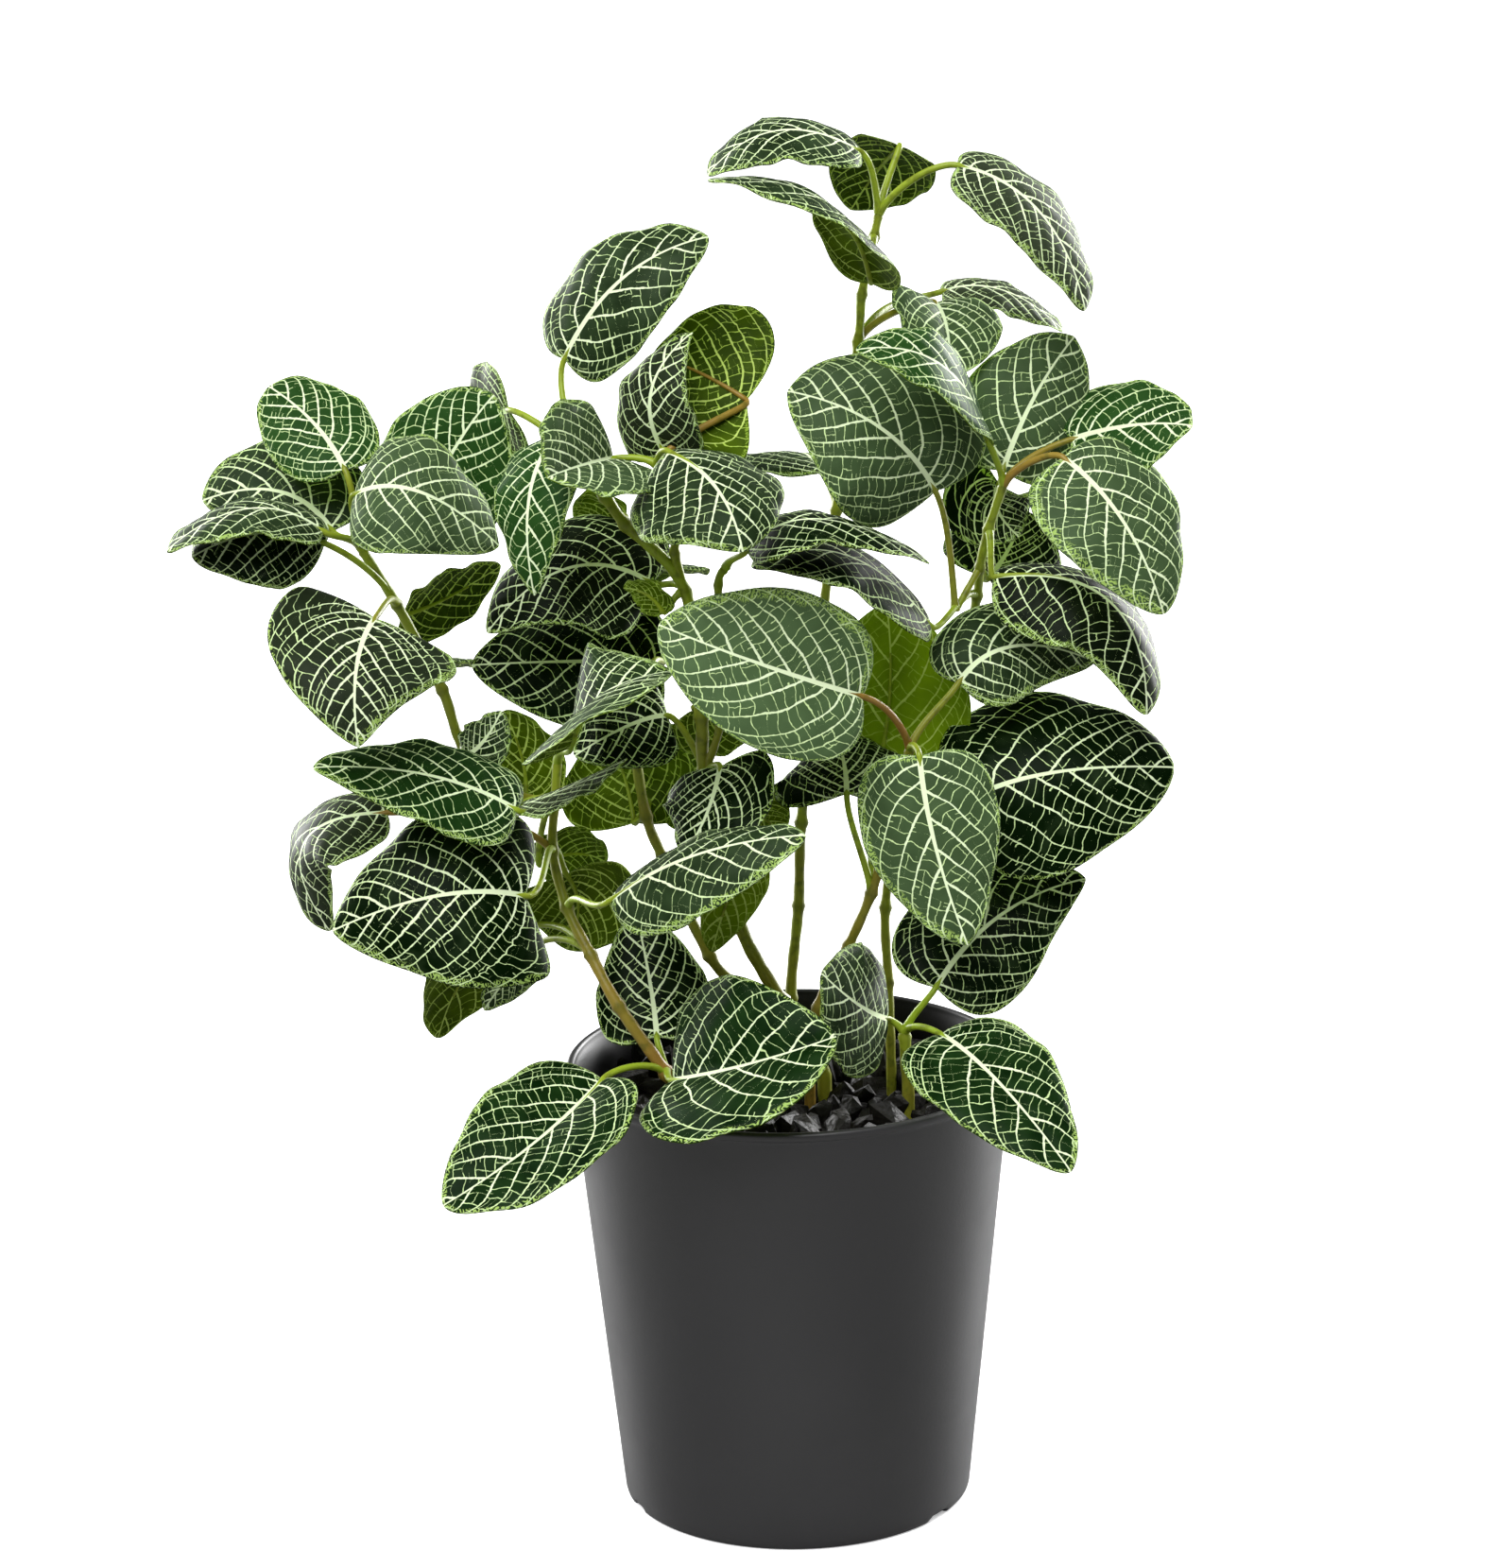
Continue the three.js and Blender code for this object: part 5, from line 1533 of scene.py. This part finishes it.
@dataclass
class Pot:
    """The moulded pot: one turned wall with a rolled rim and notches in the edge of its foot.

    `wall_ends` is how far the plain wall keeps from the foot's edge and from the rim, `ease` is the step
    of its eased corners, `lip` is how far in and how far down the rim's roll ends, and `inner_ring` is
    the height of the inner wall's lowest ring.
    """

    height: float = 122.0
    rim_radius: float = 60.0
    foot_radius: float = 47.0
    wall: float = 2.4
    floor: float = 4.0
    rim_depth: float = 2.4
    rim_roll: float = 1.1
    rim_step: float = 0.5
    foot_edge: float = 1.6
    wall_ends: tuple[float, float] = (1.5, 1.2)
    ease: float = 0.6
    lip: tuple[float, float] = (2.5, 1.8)
    inner_ring: float = 8.0
    floor_curve: float = 2.0
    sides: int = 180
    wall_rings: tuple[int, int] = (24, 12)
    notches: int = 3
    notch_width: float = math.radians(8)
    notch_first: float = math.radians(-36)
    notch_height: float = 1.8
    notch_slope: float = 0.1
    finish: PotFinish = PotFinish()

    def wall_radius(self, height: float) -> float:
        """Gives the outer wall's radius at a height."""
        share = (height - self.foot_edge) / (self.height - self.rim_depth - self.foot_edge)
        return self.foot_radius + (self.rim_radius - 2 * self.rim_step - self.foot_radius) * share

    def profile(self) -> list[tuple[float, float]]:
        """Lists the wall's section from the middle of the underside, round the rim, to the floor's middle.

        Returns:
            The radius and the height of each point.
        """
        low, edge, roll = self.height - self.rim_depth, self.foot_edge, self.rim_roll
        outer, inner = self.wall_rings
        start, end = self.wall_ends
        ease, curve = self.ease, self.floor_curve
        section = [(0.0, 0.0), (self.foot_radius * 0.5, 0.0), (self.foot_radius - edge, 0.0)]
        for angle in np.radians((30, 60, 90)):
            section.append((self.foot_radius - edge + edge * math.sin(angle), edge - edge * math.cos(angle)))
        section += [(self.wall_radius(h), h) for h in np.linspace(edge + start, low - end, outer)]
        section += [(self.wall_radius(low - ease), low - ease), (self.rim_radius - self.rim_step, low)]
        section += [(self.rim_radius, low + ease), (self.rim_radius, self.height - roll)]
        for angle in np.radians(range(15, 166, 15)):
            radius = self.rim_radius - roll + roll * math.cos(angle)
            section.append((radius, self.height - roll + roll * math.sin(angle)))
        section.append((self.rim_radius - self.lip[0], self.height - self.lip[1]))
        heights = np.linspace(low - ease, self.inner_ring, inner)
        section += [(self.wall_radius(h) - self.wall, h) for h in heights]
        foot = self.wall_radius(self.floor + curve) - self.wall
        section += [(foot, self.floor + curve), (foot - ease, self.floor + ease), (foot - curve, self.floor)]
        return [*section, (0.0, self.floor)]

    def notch(self, angle: float) -> bool:
        """Tells whether a notch of the foot's edge lies at this angle.

        Args:
            angle: the angle about the pot's axis.

        Returns:
            True within a notch.
        """
        for k in range(self.notches):
            middle = self.notch_first + k * 2 * math.pi / self.notches
            away = (angle - middle + math.pi) % (2 * math.pi) - math.pi
            if abs(away) < self.notch_width / 2:
                return True
        return False

    def build(self) -> None:
        """Builds the pot."""
        section = self.profile()
        places, faces = [(0.0, 0.0, 0.0)], []
        rings = section[1:-1]
        for radius, height in rings:
            for side in range(self.sides):
                angle = 2 * math.pi * side / self.sides
                raised = height
                low = height < self.notch_height and radius > self.foot_radius - self.wall
                if low and self.notch(angle):
                    raised = self.notch_height + self.notch_slope * height
                places.append((radius * math.cos(angle), radius * math.sin(angle), raised))
        places.append((0.0, 0.0, section[-1][1]))
        last = len(places) - 1
        for side in range(self.sides):
            after = (side + 1) % self.sides
            faces.append((0, 1 + after, 1 + side))
            faces.append((last, last - self.sides + side, last - self.sides + after))
            for ring in range(len(rings) - 1):
                a, b = 1 + ring * self.sides + side, 1 + ring * self.sides + after
                faces.append((a, b, b + self.sides, a + self.sides))
        pot = mesh_object("black_pot", np.array(places), faces)
        pot.data.materials.append(self.finish.material())
        pot.data.polygons.foreach_set("use_smooth", [True] * len(faces))
        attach(pot, "root")
        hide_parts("pot")
        LOG.info("pot: %d faces", len(faces))


@dataclass
class StoneLayer:
    """The crushed dark stones that lie inside the rim."""

    reach: float = 55.4
    level: float = 109.0
    bed_rings: int = 8
    bed_sides: int = 48
    kinds: int = 7
    first_kind: int = 100
    corners: int = 15
    half_size: tuple[float, float, float] = (6.4, 5.0, 4.0)
    bulge: tuple[float, float] = (0.8, 1.1)
    spacing: float = 6.2
    density: float = 90000.0
    size: tuple[float, float] = (0.7, 1.3)
    lift: tuple[float, float] = (-1.0, 4.0)
    seed: int = 3
    finish: StoneFinish = StoneFinish()

    def stone(self, number: int, material: bpy.types.Material) -> bpy.types.Object:
        """Makes one angular stone of about 10 mm.

        Args:
            number: which of the kinds it is.
            material: its material.

        Returns:
            The stone.
        """
        random = np.random.default_rng(self.first_kind + number)
        corners = random.normal(size=(self.corners, 3))
        corners /= np.linalg.norm(corners, axis=1, keepdims=True)
        corners *= random.uniform(*self.bulge, (self.corners, 1)) * np.array(self.half_size)
        shape = bmesh.new()
        for corner in corners:
            shape.verts.new(corner * MM)
        hull = bmesh.ops.convex_hull(shape, input=shape.verts)
        bmesh.ops.delete(shape, geom=hull["geom_interior"], context="VERTS")
        mesh = bpy.data.meshes.new(f"stone_{number}")
        shape.to_mesh(mesh)
        shape.free()
        mesh.materials.append(material)
        return bpy.data.objects.new(f"stone_{number}", mesh)

    def bed(self) -> bpy.types.Object:
        """Makes the disc on which the stones lie.

        Returns:
            The disc.
        """
        rings, sides = self.bed_rings, self.bed_sides
        places, faces = [(0.0, 0.0, self.level)], []
        for ring in range(1, rings + 1):
            for side in range(sides):
                angle = 2 * math.pi * side / sides
                radius = self.reach * ring / rings
                places.append((radius * math.cos(angle), radius * math.sin(angle), self.level))
        for side in range(sides):
            after = (side + 1) % sides
            faces.append((0, 1 + side, 1 + after))
            for ring in range(rings - 1):
                a, b = 1 + ring * sides + side, 1 + ring * sides + after
                faces.append((a, a + sides, b + sides, b))
        return mesh_object("dark_stones", np.array(places), faces)

    def scatter(self, stones: bpy.types.Collection, material: bpy.types.Material) -> Shaper:
        """Makes the tree that scatters stones over the bed.

        Args:
            stones: the kinds of stone.
            material: their material.

        Returns:
            The tree.
        """
        tree = Shaper("scattered_stones", Spacing="Float", Smallest="Float", Largest="Float", Seed="Int")
        bed, seed = tree.given["Geometry"], tree.given["Seed"]
        given = {"Mesh": bed, "Distance Min": tree.given["Spacing"], "Seed": seed}
        given["Density Max"] = self.density
        spots = tree.node("GeometryNodeDistributePointsOnFaces", given, distribute_method="POISSON")
        given = {"Min": (0.0, 0.0, self.lift[0] * MM), "Max": (0.0, 0.0, self.lift[1] * MM), "Seed": seed}
        lift = tree.node("FunctionNodeRandomValue", given, data_type="FLOAT_VECTOR")
        heap = tree.node("GeometryNodeSetPosition", {"Geometry": spots, "Offset": lift})
        given = {"Collection": stones, "Separate Children": True}
        kinds = tree.node("GeometryNodeCollectionInfo", given)
        given = {"Max": (math.tau, math.tau, math.tau), "Seed": seed}
        turn = tree.node("FunctionNodeRandomValue", given, data_type="FLOAT_VECTOR")
        given = {2: tree.given["Smallest"], 3: tree.given["Largest"], "Seed": seed}
        size = self.fitted(tree, tree.node("FunctionNodeRandomValue", given, 1))
        given = {"Points": heap, "Instance": kinds, "Pick Instance": True, "Rotation": turn, "Scale": size}
        placed = tree.node("GeometryNodeInstanceOnPoints", given)
        realized = tree.node("GeometryNodeRealizeInstances", {"Geometry": placed})
        joined = tree.node("GeometryNodeJoinGeometry", {"Geometry": realized})
        tree.feed(joined.socket.node.inputs["Geometry"], bed)
        tree.end(joined, material)
        return tree

    def fitted(self, tree: Shaper, size: Signal) -> Signal:
        """Holds a stone's size to the room that it has before the pot's wall.

        Args:
            tree: the tree.
            size: the size that it would have in the open.

        Returns:
            The size that fits.
        """
        place = tree.node("GeometryNodeInputPosition", {})
        level = tree.node("ShaderNodeVectorMath", {0: place, 1: (1.0, 1.0, 0.0)}, operation="MULTIPLY")
        out = tree.node("ShaderNodeVectorMath", {0: level}, "Value", operation="LENGTH")
        edge, free = self.reach * MM, (self.reach - self.half_size[0]) * MM
        given = {"Value": out, "From Min": edge, "From Max": free}
        return tree.maths("MINIMUM", tree.node("ShaderNodeMapRange", given, clamp=False), size)

    def build(self) -> None:
        """Builds the layer."""
        material = self.finish.material()
        kinds = bpy.data.collections.new("stone_kinds")
        for number in range(self.kinds):
            kinds.objects.link(self.stone(number, material))
        smallest, largest = self.size
        layer = self.scatter(kinds, material).run(
            self.bed(), Spacing=self.spacing * MM, Smallest=smallest, Largest=largest, Seed=self.seed
        )
        for kind in list(kinds.objects):
            bpy.data.objects.remove(kind)
        bpy.data.collections.remove(kinds)
        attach(layer, "root")
        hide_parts("top_stones")
        LOG.info("stones: %d faces", len(layer.data.polygons))


@dataclass
class Studio:
    """A plain pale floor under soft light. Places and sizes are in metres, and powers in watts."""

    floor_side: float = 8.0
    floor_colour: Colour = (0.86, 0.86, 0.87)
    floor_dim: Colour = (0.22, 0.22, 0.22)
    floor_glow: float = 0.4
    floor_roughness: float = 0.55
    floor_specular: float = 0.3
    sky: float = 0.20
    daylight: float = 4.1
    daylight_way: tuple[float, float, float] = (0.28, 0.62, -1.0)
    daylight_width: float = math.radians(50)
    lamp_side: float = 1.1
    lamp_aim: float = 0.2
    lamps: tuple = (("left_box", (-1.2, 1.15, 0.5), 52.0), ("right_box", (1.2, 1.15, 0.5), 76.0))

    def build(self) -> None:
        """Builds the floor, the surround and the lights."""
        half = self.floor_side / 2 / MM
        corners = [(-half, -half, 0), (half, -half, 0), (half, half, 0), (-half, half, 0)]
        floor = mesh_object("floor", np.array(corners), [(0, 1, 2, 3)])
        sheet = Sheet("pale_floor", self.floor_roughness, self.floor_specular)
        seen = sheet.node("ShaderNodeLightPath", {}, "Is Camera Ray")
        colour = sheet.mixed(seen, self.floor_dim, self.floor_colour)
        sheet.feed(sheet.surface.inputs["Base Color"], colour)
        sheet.feed(sheet.surface.inputs["Emission Color"], WHITE)
        sheet.feed(sheet.surface.inputs["Emission Strength"], seen * self.floor_glow)
        floor.data.materials.append(sheet.material)
        floor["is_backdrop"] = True
        self.surround()
        sun = bpy.data.lights.new("soft_daylight", "SUN")
        sun.energy = self.daylight
        sun.angle = self.daylight_width
        self.shine(sun, (0.0, 0.0, 0.0), Vector(self.daylight_way))
        for name, place, power in self.lamps:
            lamp = bpy.data.lights.new(name, "AREA")
            lamp.size = self.lamp_side
            lamp.energy = power
            self.shine(lamp, place, Vector((0, 0, self.lamp_aim)) - Vector(place))
        bpy.context.scene.view_settings.view_transform = "Standard"

    def surround(self) -> None:
        """Makes the surround: white where it is seen, and dimmer as a light."""
        world = bpy.data.worlds.new("studio")
        bpy.context.scene.world = world
        world.use_nodes = True
        tree = Tree(world.node_tree)
        back = tree.nodes["Background"]
        seen = tree.node("ShaderNodeLightPath", {}, "Is Camera Ray")
        given = {"Value": seen, "To Min": self.sky, "To Max": 1.0}
        tree.feed(back.inputs["Color"], WHITE)
        tree.feed(back.inputs["Strength"], tree.node("ShaderNodeMapRange", given))

    def shine(self, light: bpy.types.Light, place: tuple[float, float, float], way: Vector) -> None:
        """Sets up a light.

        Args:
            light: the light.
            place: where it stands.
            way: which way it shines.
        """
        lamp = bpy.data.objects.new(light.name, light)
        bpy.context.scene.collection.objects.link(lamp)
        lamp.location = place
        lamp.rotation_euler = way.to_track_quat("-Z", "Y").to_euler()


def main() -> None:
    logging.basicConfig(level=logging.INFO, format="%(name)s: %(message)s")
    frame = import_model()
    cad_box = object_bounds()
    eye = PhotoEye()
    eye.make_camera()
    Studio().build()
    Pot().build()
    frame["nodes"]["potting_mix"].data.materials.clear()
    frame["nodes"]["potting_mix"].data.materials.append(MixFinish().material())
    StoneLayer().build()
    Foliage(eye, cad_box).build()


if __name__ == "__main__":
    main()
